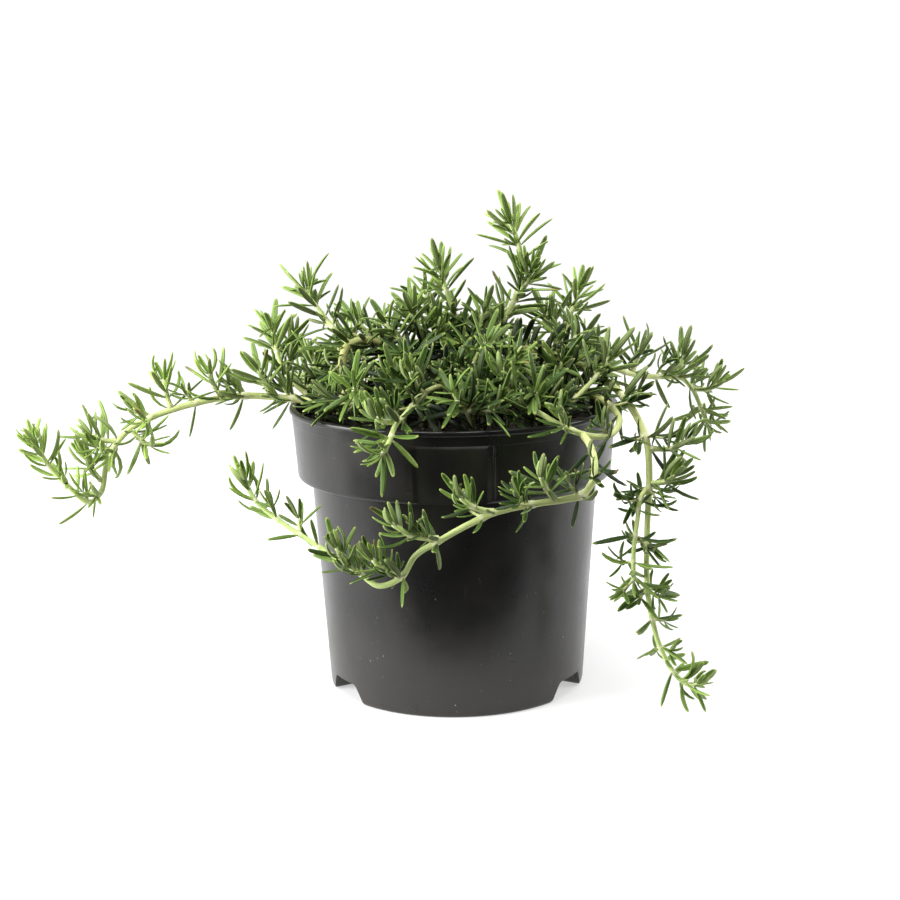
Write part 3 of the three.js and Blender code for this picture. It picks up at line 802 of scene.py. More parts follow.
@dataclass
class GrowthRule:
    """The rule that clothes a stem with leaves, after the species.

    Leaves stand in opposite pairs, each pair turned a quarter from the last. In the corner over
    many a leaf grows a short side shoot with a few pairs of smaller leaves. Towards the tip the
    leaves are younger and closer, and end in a tuft.
    """

    twig_step: float = 0.0015  # from one ring of the bark to the next
    joint_swell: float = 0.34  # how much thicker a stem is at its leaf joints
    joint_reach: float = 0.0016
    turn_spread: float = 12.0  # how far the turns of leaves vary, in degrees in all
    lean_spread: float = 14.0
    least_leaf: float = 0.82  # the shortest leaves, of what is usual
    leaf_spread: float = 0.30  # how much longer the longest are
    low_first: float = 0.0125  # where the lowest pair stands
    low_last: float = 0.0225  # where the last of the low pairs stands, at least
    low_highest: float = 0.09  # and at most
    low_step: float = 0.005
    low_lean: float = 62.0
    low_turn: float = 75.0  # degrees from one low pair to the next
    most_roll: float = 32.0  # how far a leaf is turned about its own line, at most
    weakest: float = 0.14  # the vigour that a side shoot needs
    lowest_way: float = -0.35  # how far down a trailing stem's side shoots may face
    shoot_radius: float = 0.0006
    shoot_lean: float = 40.0
    shoot_lift: float = 1.3  # of its leaves' own lift
    shoot_bow: float = 0.14  # how far it curves up, of its length
    shoot_gap: float = 0.003  # from its tip to the pot, at least
    long_shoot: float = 0.0055  # from here on it has a second pair under its top
    # the tuft's pairs: how far back from the tip, how long, and how far they lean away
    tuft: tuple[Point, ...] = (
        (0.0105, 0.98, 54), (0.0068, 0.92, 46), (0.0036, 0.80, 35), (0.0011, 0.58, 20),
    )
    tuft_lean: float = 38.0  # the lean of a stem's topmost leaves that these go with
    # how a leaf may turn and lean out of another's way, the best liked first
    bends: tuple[Pair, ...] = (
        (0, 0), (20, 0), (-20, 0), (0, -16), (0, 18), (38, -12), (-38, -12), (60, 10), (-60, 10),
    )


class StemGrowth:
    """Grows the twigs and leaves of one stem, one axis after the other."""

    def __init__(
        self, axes: Sequence[Axis], habit: Habit, seed: int, rule: GrowthRule, room: Room
    ) -> None:
        """Takes the stem's axes and the seed of its leaves.

        Args:
            axes: The stem's main axis and its side shoots.
            habit: How the stem grows.
            seed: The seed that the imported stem's leaves were drawn with.
            rule: How leaves grow.
            room: What they keep clear of.
        """
        self.manners = [self.manner_of(axis, habit) for axis in axes]
        self.lines = [Line(axis, manner.trim) for axis, manner in zip(axes, self.manners)]
        self.line, self.manner = self.lines[0], self.manners[0]
        self.pair_draws = Draws(seed)
        self.draws = Draws(seed + 1000)
        self.rule = rule
        self.room = room
        self.leaves: list[Leaf] = []
        self.twigs: list[Twig] = []

    @staticmethod
    def manner_of(axis: Axis, habit: Habit) -> Manner:
        """Gives the manner of an axis; a trailing stem's high shoot grows upright."""
        high = habit is Habit.TRAILING and axis.route[-1][2] > 0.2
        return (Habit.UPRIGHT if high else habit).value

    def grow(self) -> None:
        """Grows every axis."""
        for index, line in enumerate(self.lines):
            self.line, self.manner = line, self.manners[index]
            self.grow_axis(main=index == 0)

    def joint_of(self, ring: int, steps: int) -> float:
        """Says where a leaf pair's joint is, in spacings from the root.

        Args:
            ring: The pair's number from the root.
            steps: The number of the last pair.

        Returns:
            The pair's own place, or one that it shares with its neighbour.
        """
        gather = self.manner.gather
        if gather <= 1 or ring > steps - 4:
            return float(ring)
        return min(steps - 3.4, (ring // gather + 0.5) * gather + 0.1 * (ring % 2))

    def grow_axis(self, main: bool) -> None:
        """Grows one axis: its bark, its leaf pairs and the shoots in their corners.

        Args:
            main: Whether it stands in the soil itself.
        """
        manner, rule, length, bare = self.manner, self.rule, self.line.length, self.line.axis.bare
        old, young, top = manner.leans
        steps = max(2, round(length / PAIR_SPACING))
        short = manner.gather > 1 and length < 0.032
        first = 0 if self.pair_draws.share() < 0.5 else QUARTER
        joints = []
        for ring in range(round(bare / PAIR_SPACING), steps + 1):
            at_tip = ring == steps
            share = (self.joint_of(ring, steps) + (-0.12 if at_tip else 0.12)) / steps
            joints.append(share)
            youth = max(0.0, share - 0.5) * 2
            for half in OPPOSITE:
                turn = first + QUARTER * ring + half + rule.turn_spread * (self.pair_draws.share() - 0.5)
                lean = top if at_tip else old + (young - old) * youth
                lean += rule.lean_spread * (self.pair_draws.share() - 0.5)
                size = self.line.axis.leaf * (rule.least_leaf + rule.leaf_spread * self.pair_draws.share())
                self.add_leaf(share, turn, lean, size, self.age_and_light_at(share))
                if not short:
                    self.add_shoot(share, turn, youth)
            if 2 * share - 1 > manner.close_from and not at_tip:
                self.add_close_pair(share + 0.5 / steps, first + QUARTER * ring + QUARTER / 2, youth)
        if main or bare > 0.02:
            self.add_low_pairs(first)
        self.add_tuft(first + QUARTER * steps)
        self.add_bark(joints, main)

    def age_and_light_at(self, share: float) -> float:
        """Gives the age of leaves at a place, with painted light and shade added in: younger towards the
        tip, painted lighter out to the left, the back, above and below the crown, and painted darker deep
        under its dome.

        Args:
            share: Where on the line.

        Returns:
            From 0, old and dark, to 1, young and bright, with the painted light and shade in it.
        """
        x, y, z = self.line.at(share).middle
        # painted light: how far it is out of the crown, where leaves are painted lighter, as if better lit
        left, back = max(0.0, -x - 0.04) / 0.10, max(0.0, y - 0.03) / 0.07
        above, below = max(0.0, z - 0.19) / 0.045, max(0.0, 0.12 - z) / 0.3
        out = min(1.0, left + back + (above + below))
        # painted light: leaves far out to the left are painted lighter still
        far_left_light = min(1.0, max(0.0, -x - 0.07) / 0.06) if y > -0.05 else 0.0
        youth = 0.20 + 0.30 * max(0.0, 1.4 * share - 0.4) + 0.34 * out + 0.14 * far_left_light
        # painted shade: how deep it is under the dome of the crown, where leaves are painted darker
        radius = math.hypot(x, y)
        dome = 0.198 - 0.035 * (radius / LIP_RADIUS) ** 2
        deep = min(1.0, max(0.0, dome - 0.008 - z) / 0.026) if radius < 0.088 else 0.0
        return min(1.0, max(0.0, youth - 0.42 * deep + self.draws.wobble(0.10)))

    def draw_shape(self) -> int:
        """Draws one of the leaf shapes that the stem grows."""
        return self.manner.shapes[int(self.draws.share() * len(self.manner.shapes))]

    def settle(self, seat: Seat, turn: float, lean: float) -> None:
        """Adds a leaf, bent until it is clear, unless it meets the pot.

        Args:
            seat: Where it stands and what it is like.
            turn: Its direction round the line, in degrees.
            lean: How far it leans away from the line, in degrees.
        """
        bends = self.rule.bends
        leaf = self.room.settle(seat.leaf(turn + around, lean + away) for around, away in bends)
        if leaf:
            self.leaves.append(leaf)

    def add_leaf(self, share: float, turn: float, lean: float, size: float, age: float) -> None:
        """Adds a leaf of the axis.

        Args:
            share: Where on the line it stands.
            turn: Its direction round the line, in degrees.
            lean: How far it leans away from the line, in degrees.
            size: Its length, of what is usual at that place.
            age: Its age.
        """
        root, tip = self.manner.leaf
        length = size * (root + (tip - root) * max(0.0, 2 * share - 1)) * LEAF_LENGTH
        width = LEAF_WIDTH * self.draws.between(0.94, 1.14) * min(1.0, 0.4 + 0.6 * size)
        shape, roll = self.draw_shape(), self.draws.wobble(self.rule.most_roll)
        place = (self.line.at(share), 0.6 * self.line.radius_at(share), self.line.axis.lift)
        seat = Seat(*place, self.manner.uprightness, length, width, shape, age, roll)
        self.settle(seat, turn, lean)

    def add_close_pair(self, share: float, turn: float, youth: float) -> None:
        """Adds a pair between two others, where the axis is young.

        Args:
            share: Where on the line it stands.
            turn: The pair's direction, in degrees.
            youth: How near the tip is, from 0 to 1.
        """
        for half in OPPOSITE:
            around = turn + half + self.draws.wobble(12)
            lean = self.manner.leans[1] + self.draws.wobble(9)
            size = (0.92 - 0.12 * youth) * self.draws.between(0.85, 1.1)
            self.add_leaf(share, around, lean, size, self.age_and_light_at(share) + 0.06)

    def add_low_pairs(self, turn: float) -> None:
        """Adds the old leaves from just over the soil to where the joints start.

        Args:
            turn: The first pair's direction, in degrees.
        """
        rule, line = self.rule, self.line
        last = max(rule.low_last, min(0.85 * line.axis.bare, rule.low_highest))
        for count in range(round((last - rule.low_first) / rule.low_step) + 1):
            share = (rule.low_first + rule.low_step * count) / line.length
            around = turn + rule.low_turn * count
            if count % 2:
                self.add_shoot(share, around, 0.0)
            for half in OPPOSITE:
                toward = around + half + self.draws.wobble(20)
                lean = rule.low_lean + self.draws.wobble(14)
                size = self.draws.between(0.75, 1.0)
                self.add_leaf(share, toward, lean, size, self.age_and_light_at(share) - 0.06)

    def add_tuft(self, turn: float) -> None:
        """Adds the tuft of young leaves at the tip of the axis.

        Args:
            turn: Their direction round the line, in degrees.
        """
        open_out = self.manner.leans[2] / self.rule.tuft_lean
        for count, (back, size, lean) in enumerate(self.rule.tuft):
            share = 1 - back / self.line.length
            size *= self.line.axis.leaf
            for half in OPPOSITE:
                around = turn + QUARTER * count + QUARTER / 2 + half + self.draws.wobble(12)
                away = lean * open_out + self.draws.wobble(7)
                age = min(1.0, self.age_and_light_at(share) + 0.2)
                self.add_leaf(share, around, away, size * self.draws.between(0.85, 1.12), age)

    def add_shoot(self, share: float, turn: float, youth: float) -> None:
        """Adds a short side shoot in the corner over a leaf.

        Args:
            share: Where on the line it stands.
            turn: Its direction round the line, in degrees.
            youth: How near the tip of the axis is, from 0 to 1.
        """
        manner, rule, lift = self.manner, self.rule, self.line.axis.lift
        vigour = min(1.0, manner.vigour * self.draws.share() * (1 - 0.5 * youth))
        station = self.line.at(share)
        outward = station.outward(turn + self.draws.wobble(14))
        if vigour < rule.weakest or (manner.gather > 1 and outward.z < rule.lowest_way):
            return
        lean = math.radians(rule.shoot_lean + self.draws.wobble(10))
        way = math.cos(lean) * station.forward + math.sin(lean) * outward
        way = (way + rule.shoot_lift * lift * UP).normalized()
        length = manner.shoot[0] + vigour * (manner.shoot[1] - manner.shoot[0])
        root = station.middle + 0.5 * self.line.radius_at(share) * outward
        bow = rule.shoot_bow * length * (UP - UP.dot(way) * way)
        points = [root + way * length * t + bow * t * t for t in STALK]
        if not self.room.outside_pot(points[-1], rule.shoot_gap):
            return
        age = min(1.0, 0.08 + 0.8 * self.age_and_light_at(share) + 0.12 * vigour)
        radii = [rule.shoot_radius * (1.25 - 0.4 * t) for t in STALK]
        self.twigs.append(Twig(points, radii, [1.0, 0.5, 0.35, 0.5, 0.9], (0.5, age)))
        side = station.forward.cross(way).normalized()
        pairs = 1 + (length > rule.long_shoot)
        start = QUARTER * self.draws.share()
        for pair in range(pairs + 1):
            place = min(1.0, (pair + 1) / pairs)
            on_top = pair == pairs
            middle = Station(root + way * length * place + bow * place * place, way, side)
            for half in OPPOSITE:
                around = start + QUARTER * pair + half + self.draws.wobble(14)
                opening = (30 if on_top else 70 - 14 * place) + self.draws.wobble(9)
                size = self.draws.between(*manner.small) * (0.8 if on_top else 1.0)
                width = LEAF_WIDTH * (0.42 + 0.45 * size)
                tone, roll = age + self.draws.wobble(0.12), self.draws.wobble(rule.most_roll)
                own = (size * LEAF_LENGTH, width, self.draw_shape(), tone, roll)
                self.settle(Seat(middle, 0.0003, 0.6 * lift, manner.uprightness, *own), around, opening)

    def add_bark(self, joints: Sequence[float], main: bool) -> None:
        """Adds the axis's own twig, swollen at its leaf joints and closed at both ends.

        Args:
            joints: Where the leaf joints are, as shares of the length.
            main: Whether it stands in the soil itself.
        """
        line, rule = self.line, self.rule
        count = max(6, round(line.length / rule.twig_step))
        points, radii, near = [], [], []
        for share in (index / count for index in range(count + 1)):
            away = min((abs(share - joint) * line.length for joint in joints), default=1.0)
            joint = math.exp(-((away / rule.joint_reach) ** 2))
            points.append(line.at(share).middle)
            radii.append(line.radius_at(share) * (1.10 + rule.joint_swell * joint * (1 - 0.6 * share)))
            near.append(joint)
        radii[0] = radii[-1] = 0.0
        radii[-2] *= 0.75
        age = (0.0, 0.85) if main else (0.45, 0.95)
        self.twigs.append(Twig(points, radii, near, age))


# ---------------- laying out node trees


class NodeSheet:
    """Lays nodes out in a tree, and joins each to the sockets that feed it."""

    def __init__(self, tree: NodeTree) -> None:
        """Takes the tree that the nodes go into."""
        self.tree = tree

    @staticmethod
    def find(sockets: Any, key: str | int) -> Socket:
        """Finds a socket.

        Args:
            sockets: The inputs or outputs of a node.
            key: The socket's place, identifier or name.

        Returns:
            The socket.
        """
        if isinstance(key, int):
            return sockets[key]
        exact = [one for one in sockets if one.identifier == key]
        return exact[0] if exact else next(one for one in sockets if one.enabled and one.name == key)

    def feed(self, socket: Socket, value: Any) -> None:
        """Feeds a socket.

        Args:
            socket: The socket.
            value: Another socket, a list of other sockets, or a plain value.
        """
        if not isinstance(value, (list, Socket)):
            socket.default_value = value
            return
        for one in value if isinstance(value, list) else [value]:
            self.tree.links.new(one, socket)

    def add(self, kind: str, inputs: dict[str | int, Any] | None = None, **settings: Any) -> Node:
        """Adds a node.

        Args:
            kind: The node's type.
            inputs: What feeds its sockets.
            settings: The node's own settings.

        Returns:
            The node.
        """
        node = self.tree.nodes.new(kind)
        for name, value in settings.items():
            setattr(node, name, value)
        for key, value in (inputs or {}).items():
            self.feed(self.find(node.inputs, key), value)
        return node

    def sum(self, operation: str, a: Socket | float, b: Socket | float = 0.0) -> Socket:
        """Works out a sum of two numbers."""
        return self.add("ShaderNodeMath", {0: a, 1: b}, operation=operation).outputs[0]

    def times(self, a: Socket, b: Socket | float) -> Socket:
        """Multiplies two numbers."""
        return self.sum("MULTIPLY", a, b)

    def plus(self, a: Socket, b: Socket | float) -> Socket:
        """Adds two numbers."""
        return self.sum("ADD", a, b)

    def parts(self, vector: Socket) -> tuple[Socket, Socket, Socket]:
        """Takes a vector apart."""
        return tuple(self.add("ShaderNodeSeparateXYZ", {0: vector}).outputs)

    def combine(self, x: Socket, y: Socket, z: Socket | float) -> Socket:
        """Puts a vector together."""
        return self.add("ShaderNodeCombineXYZ", {0: x, 1: y, 2: z}).outputs[0]

    def step(
        self, value: Socket, low: float, high: float, start: float = 0.0, end: float = 1.0
    ) -> Socket:
        """Eases from one number to another as a value rises.

        Args:
            value: The value.
            low: Where the change starts.
            high: Where it ends.
            start: The number before it.
            end: The number after it.

        Returns:
            The number.
        """
        inputs = {"Value": value, "From Min": low, "From Max": high, "To Min": start, "To Max": end}
        node = self.add("ShaderNodeMapRange", inputs, interpolation_type="SMOOTHSTEP")
        return node.outputs["Result"]


class MaterialSheet(NodeSheet):
    """Lays out the nodes of a finish."""

    def __init__(self, name: str) -> None:
        """Starts a material, with the object's own coordinates at hand.

        Args:
            name: The material's name.
        """
        self.material = bpy.data.materials.new(name)
        self.material.use_nodes = True
        super().__init__(self.material.node_tree)
        self.tree.nodes.clear()
        self.place = self.add("ShaderNodeTexCoord").outputs["Object"]

    def number(self, name: str) -> Socket:
        """Reads a number that each point of the piece carries."""
        return self.add("ShaderNodeAttribute", attribute_name=name).outputs["Fac"]

    def vector(self, name: str) -> Socket:
        """Reads a vector that each point of the piece carries."""
        return self.add("ShaderNodeAttribute", attribute_name=name).outputs["Vector"]

    def noise(self, place: Socket, scale: float, detail: float = 2.0) -> Socket:
        """Gives soft noise from 0 to 1, with so many waves to the metre."""
        inputs = {"Vector": place, "Scale": scale, "Detail": detail}
        return self.add("ShaderNodeTexNoise", inputs).outputs["Fac"]

    def specks(self, place: Socket, scale: float, size: float) -> Socket:
        """Gives small round specks, brightest in their middle.

        Args:
            place: The coordinates.
            scale: The cells to the metre; about half of them hold a speck.
            size: The speck's radius, of a cell.

        Returns:
            How much of a speck is there.
        """
        cells = self.add("ShaderNodeTexVoronoi", {"Vector": place, "Scale": scale})
        chance, fade, _ = self.parts(cells.outputs["Color"])
        spot = self.step(cells.outputs["Distance"], 0.4 * size, size, 1.0, 0.0)
        spot = self.times(spot, self.step(fade, 0.0, 1.0, 0.15, 1.0))
        return self.times(spot, self.sum("GREATER_THAN", chance, 0.5))

    def stretch(self, place: Socket, scale: Point) -> Socket:
        """Scales coordinates along each axis."""
        return self.add("ShaderNodeMapping", {"Vector": place, "Scale": scale}).outputs[0]

    def blend(
        self, share: Socket | float, a: Socket | Colour, b: Socket | Colour, kind: str = "MIX"
    ) -> Socket:
        """Mixes two colours.

        Args:
            share: How much of the second.
            a: The first colour.
            b: The second colour.
            kind: How they mix.

        Returns:
            The mixed colour.
        """
        inputs = {"Factor_Float": share, "A_Color": a, "B_Color": b}
        node = self.add("ShaderNodeMix", inputs, data_type="RGBA", blend_type=kind)
        return self.find(node.outputs, "Result_Color")

    def ramp(self, value: Socket, stops: Sequence[tuple[float, Colour]]) -> Socket:
        """Gives the colour at a value on a scale of colours.

        Args:
            value: The value.
            stops: The colours, each with its place on the scale.

        Returns:
            The colour.
        """
        node = self.add("ShaderNodeValToRGB", {0: value})
        elements = node.color_ramp.elements
        while len(elements) < len(stops):
            elements.new(0.5)
        for element, (place, colour) in zip(elements, stops):
            element.position, element.color = place, colour
        return node.outputs["Color"]

    def bump(self, height: Socket, depth: float, strength: float = 1.0) -> Socket:
        """Raises the surface, for light only, by a height from 0 to 1 that is so many metres deep."""
        inputs = {"Height": height, "Distance": depth, "Strength": strength}
        return self.add("ShaderNodeBump", inputs).outputs["Normal"]

    def finish(
        self, colour: Socket, roughness: Socket | float, normal: Socket, **constants: float | Colour
    ) -> Material:
        """Puts the surface together.

        Args:
            colour: Its colour.
            roughness: Its roughness.
            normal: Its direction.
            constants: Other values of the surface, by name, with _ for a blank.

        Returns:
            The material.
        """
        inputs = {"Base Color": colour, "Roughness": roughness, "Normal": normal}
        inputs |= {name.replace("_", " "): value for name, value in constants.items()}
        surface = self.add("ShaderNodeBsdfPrincipled", inputs)
        self.add("ShaderNodeOutputMaterial", {"Surface": surface.outputs["BSDF"]})
        return self.material


# ---------------- finishes


@dataclass(frozen=True)
class LeafFinish:
    """Leaves that are green and grooved above, and pale felt between green edges below."""

    # painted shade: the colour of leaves deep under the crown
    shaded: Colour = (0.0045, 0.012, 0.0028, 1.0)
    old: Colour = (0.013, 0.030, 0.0045, 1.0)
    grown: Colour = (0.040, 0.086, 0.008, 1.0)
    young: Colour = (0.285, 0.415, 0.082, 1.0)
    # painted highlight: the lighter green along the edges of the upper side
    edge: Colour = (0.215, 0.335, 0.066, 1.0)
    felt: Colour = (0.31, 0.36, 0.16, 1.0)
    point: Colour = (0.50, 0.58, 0.13, 1.0)
    root: Colour = (0.48, 0.50, 0.24, 1.0)
    dry: Colour = (0.19, 0.15, 0.045, 1.0)
    roughness: float = 0.42
    felt_roughness: float = 0.85

    def material(self) -> Material:
        """Lays out the material.

        Returns:
            The material.
        """
        sheet = MaterialSheet("rosemary_leaf")
        across, along, under = sheet.parts(sheet.vector("blade"))
        # the age attribute also carries painted light out of the crown and painted shade under it
        age, shade = sheet.number("age"), sheet.number("shade")
        side = sheet.sum("ABSOLUTE", across)
        # the first stop is painted shade, for leaves deep under the crown
        tones = ((0.0, self.shaded), (0.16, self.old), (0.40, self.grown), (1.0, self.young))
        light = sheet.step(shade, 0.0, 1.0, 0.72, 1.30)
        green = sheet.ramp(age, tones)
        green = sheet.blend(1.0, green, sheet.combine(light, light, light), "MULTIPLY")
        cloud = sheet.noise(sheet.place, 900.0, 3.0)
        mottle = sheet.step(cloud, 0.3, 0.75, 0.0, 0.12)
        green = sheet.blend(mottle, green, self.old)
        # painted shade: a dark line along the groove of the midrib
        groove = sheet.step(side, 0.04, 0.26, 0.62, 0.0)
        top = sheet.blend(groove, green, self.old)
        # painted highlight along the edges of the upper side, fainter on old and shaded leaves
        rim = sheet.step(side, 0.72, 0.97, 0.0, 0.80)
        rim = sheet.times(rim, sheet.step(age, 0.0, 0.25, 0.12, 1.0))
        top = sheet.blend(rim, top, self.edge)
        top = sheet.blend(sheet.step(along, 0.88, 1.0, 0.0, 0.40), top, self.point)
        wool = sheet.step(sheet.noise(sheet.place, 3200.0), 0.3, 0.7, 0.0, 0.3)
        felt = sheet.blend(wool, self.felt, green)
        rib = sheet.step(side, 0.05, 0.13, 0.55, 0.0)
        felt = sheet.blend(rib, felt, green)
        below = sheet.times(sheet.step(under, 0.62, 0.86), sheet.step(age, 0.0, 0.3, 0.2, 0.9))
        felted = sheet.times(below, sheet.step(side, 0.50, 0.66, 1.0, 0.0))
        colour = sheet.blend(felted, top, felt)
        base = sheet.step(along, 0.0, 0.16, 0.9, 0.0)
        base = sheet.times(base, sheet.step(age, 0.0, 0.3, 0.3, 1.0))
        colour = sheet.blend(base, colour, self.root)
        brown = sheet.times(sheet.step(shade, 0.985, 0.992), sheet.step(along, 0.55, 0.95))
        colour = sheet.blend(brown, colour, self.dry)
        rough = sheet.step(felted, 0.0, 1.0, self.roughness, self.felt_roughness)
        rough = sheet.plus(rough, sheet.step(cloud, 0.3, 0.8, 0.0, 0.10))
        normal = sheet.bump(sheet.noise(sheet.place, 1500.0), 0.00012, 0.16)
        return sheet.finish(colour, rough, normal, Specular_IOR_Level=0.25, Sheen_Weight=0.02)


@dataclass(frozen=True)
class BarkFinish:
    """Stems that run from brown wood through cream green to fresh green, paler at each joint, and painted
    darker, as shade, just over the soil.
    """

    wood: Colour = (0.20, 0.165, 0.055, 1.0)
    old: Colour = (0.43, 0.42, 0.14, 1.0)
    cream: Colour = (0.58, 0.63, 0.25, 1.0)
    fresh: Colour = (0.44, 0.60, 0.19, 1.0)
    joint: Colour = (0.74, 0.74, 0.50, 1.0)
    # painted shade on the stems just over the soil, under the crown
    foot_shade: Colour = (0.034, 0.026, 0.012, 1.0)
    scar: Colour = (0.085, 0.06, 0.025, 1.0)
    foot_shade_rise: Pair = (0.006, 0.030)  # over the soil, where the painted shade fades out
    foot_shade_reach: Pair = (0.068, 0.080)  # and from the pot's axis

    def material(self) -> Material:
        """Lays out the material.

        Returns:
            The material.
        """
        sheet = MaterialSheet("rosemary_bark")
        # a side shoot's age also carries painted light and shade
        age, joint, grain = sheet.number("age"), sheet.number("joint"), sheet.vector("grain")
        tones = ((0.06, self.wood), (0.24, self.old), (0.46, self.cream), (1.0, self.fresh))
        streak = sheet.noise(sheet.stretch(grain, (2.2, 2.2, 90.0)), 1.0, 3.0)
        colour = sheet.ramp(age, tones)
        colour = sheet.blend(sheet.step(streak, 0.35, 0.7, 0.0, 0.35), colour, self.fresh)
        fibre = sheet.noise(sheet.stretch(grain, (5.0, 5.0, 220.0)), 1.0)
        colour = sheet.blend(sheet.step(fibre, 0.5, 0.8, 0.0, 0.22), colour, self.wood)
        colour = sheet.blend(sheet.step(joint, 0.35, 1.0, 0.0, 0.7), colour, self.joint)
        spots = sheet.step(sheet.noise(sheet.place, 1500.0), 0.60, 0.70)
        worn = sheet.times(spots, sheet.step(age, 0.05, 0.6, 0.8, 0.12))
        colour = sheet.blend(worn, colour, self.scar)
        x, y, height = sheet.parts(sheet.place)
        out = sheet.plus(sheet.times(x, x), sheet.times(y, y))
        first, last = (SOIL_TOP + rise for rise in self.foot_shade_rise)
        near, far = (reach**2 for reach in self.foot_shade_reach)
        # painted shade: stems darker just over the soil inside the pot, fading out upwards and outwards
        low = sheet.times(sheet.step(height, first, last, 0.94, 0.0), sheet.step(out, near, far, 1.0, 0.0))
        colour = sheet.blend(low, colour, self.foot_shade)
        relief = sheet.plus(sheet.times(streak, 0.6), sheet.times(fibre, 0.4))
        rough = sheet.step(streak, 0.3, 0.7, 0.55, 0.72)
        return sheet.finish(colour, rough, sheet.bump(relief, 0.0006, 0.6), Sheen_Weight=0.05)


@dataclass(frozen=True)
class PlasticFinish:
    """Dark recycled plastic with a satin skin, faint scuffs, and dust in specks and a film low down."""

    plastic: Colour = (0.0078, 0.0076, 0.0075, 1.0)
    worn: Colour = (0.019, 0.0165, 0.0135, 1.0)
    speck: Colour = (0.44, 0.40, 0.31, 1.0)
    film: Colour = (0.046, 0.042, 0.036, 1.0)

    def material(self) -> Material:
        """Lays out the material.

        Returns:
            The material.
        """
        sheet = MaterialSheet("pot_plastic_satin")
        place = sheet.place
        height = sheet.parts(place)[2]
        cloud = sheet.noise(place, 42.0, 4.0)
        colour = sheet.blend(sheet.step(cloud, 0.35, 0.75, 0.0, 0.5), self.plastic, self.worn)
        drawn = sheet.noise(sheet.stretch(place, (500.0, 500.0, 26.0)), 1.0)
        rubbed = sheet.noise(sheet.stretch(place, (20.0, 20.0, 700.0)), 1.0)
        scuff = sheet.step(drawn, 0.70, 0.80, 0.0, 0.55)
        scuff = sheet.sum("MAXIMUM", scuff, sheet.step(rubbed, 0.74, 0.82, 0.0, 0.45))
        colour = sheet.blend(scuff, colour, self.worn)
        colour = sheet.blend(sheet.step(height, 0.0, 0.06, 0.42, 0.0), colour, self.film)
        patch = sheet.step(sheet.noise(place, 60.0), 0.46, 0.60)
        dust = sheet.times(sheet.specks(place, 330.0, 0.13), patch)
        scratch = sheet.specks(sheet.stretch(place, (0.30, 0.30, 1.6)), 150.0, 0.05)
        dust = sheet.sum("MAXIMUM", dust, sheet.times(scratch, 0.6))
        dust = sheet.times(dust, sheet.step(height, 0.0, 0.09, 1.0, 0.25))
        colour = sheet.blend(dust, colour, self.speck)
        rough = sheet.plus(sheet.step(cloud, 0.3, 0.75, 0.27, 0.34), sheet.times(scuff, 0.25))
        relief = sheet.plus(sheet.times(sheet.noise(place, 1900.0), 0.25), sheet.noise(place, 120.0))
        normal = sheet.bump(relief, 0.00022, 0.5)
        return sheet.finish(colour, rough, normal, Specular_IOR_Level=0.41)


@dataclass(frozen=True)
class SoilFinish:
    """Dark crumbly potting mix, with brown fibres and a few pale grains."""

    peat: Colour = (0.012, 0.008, 0.006, 1.0)
    fibre: Colour = (0.030, 0.019, 0.011, 1.0)
    bark: Colour = (0.062, 0.038, 0.021, 1.0)
    grain: Colour = (0.55, 0.53, 0.47, 1.0)

    def material(self) -> Material:
        """Lays out the material.

        Returns:
            The material.
        """
        sheet = MaterialSheet("potting_mix")
        shade = sheet.number("shade")
        clods = sheet.noise(sheet.place, 210.0, 5.0)
        colour = sheet.blend(sheet.step(clods, 0.35, 0.7), self.peat, self.fibre)
        chips = sheet.times(sheet.step(shade, 0.70, 0.95), 0.8)
        colour = sheet.blend(chips, colour, self.bark)
        colour = sheet.blend(sheet.step(shade, 0.975, 0.985), colour, self.grain)
        fine = sheet.noise(sheet.place, 900.0, 3.0)
        relief = sheet.plus(clods, sheet.times(fine, 0.4))
        return sheet.finish(colour, 0.95, sheet.bump(relief, 0.0012, 0.9))


class Slot(Enum):
    """The material slots."""

    POT = "pot_plastic"
    SOIL = "potting_soil"
    PLANT = "foliage"


# ---------------- pieces by geometry nodes


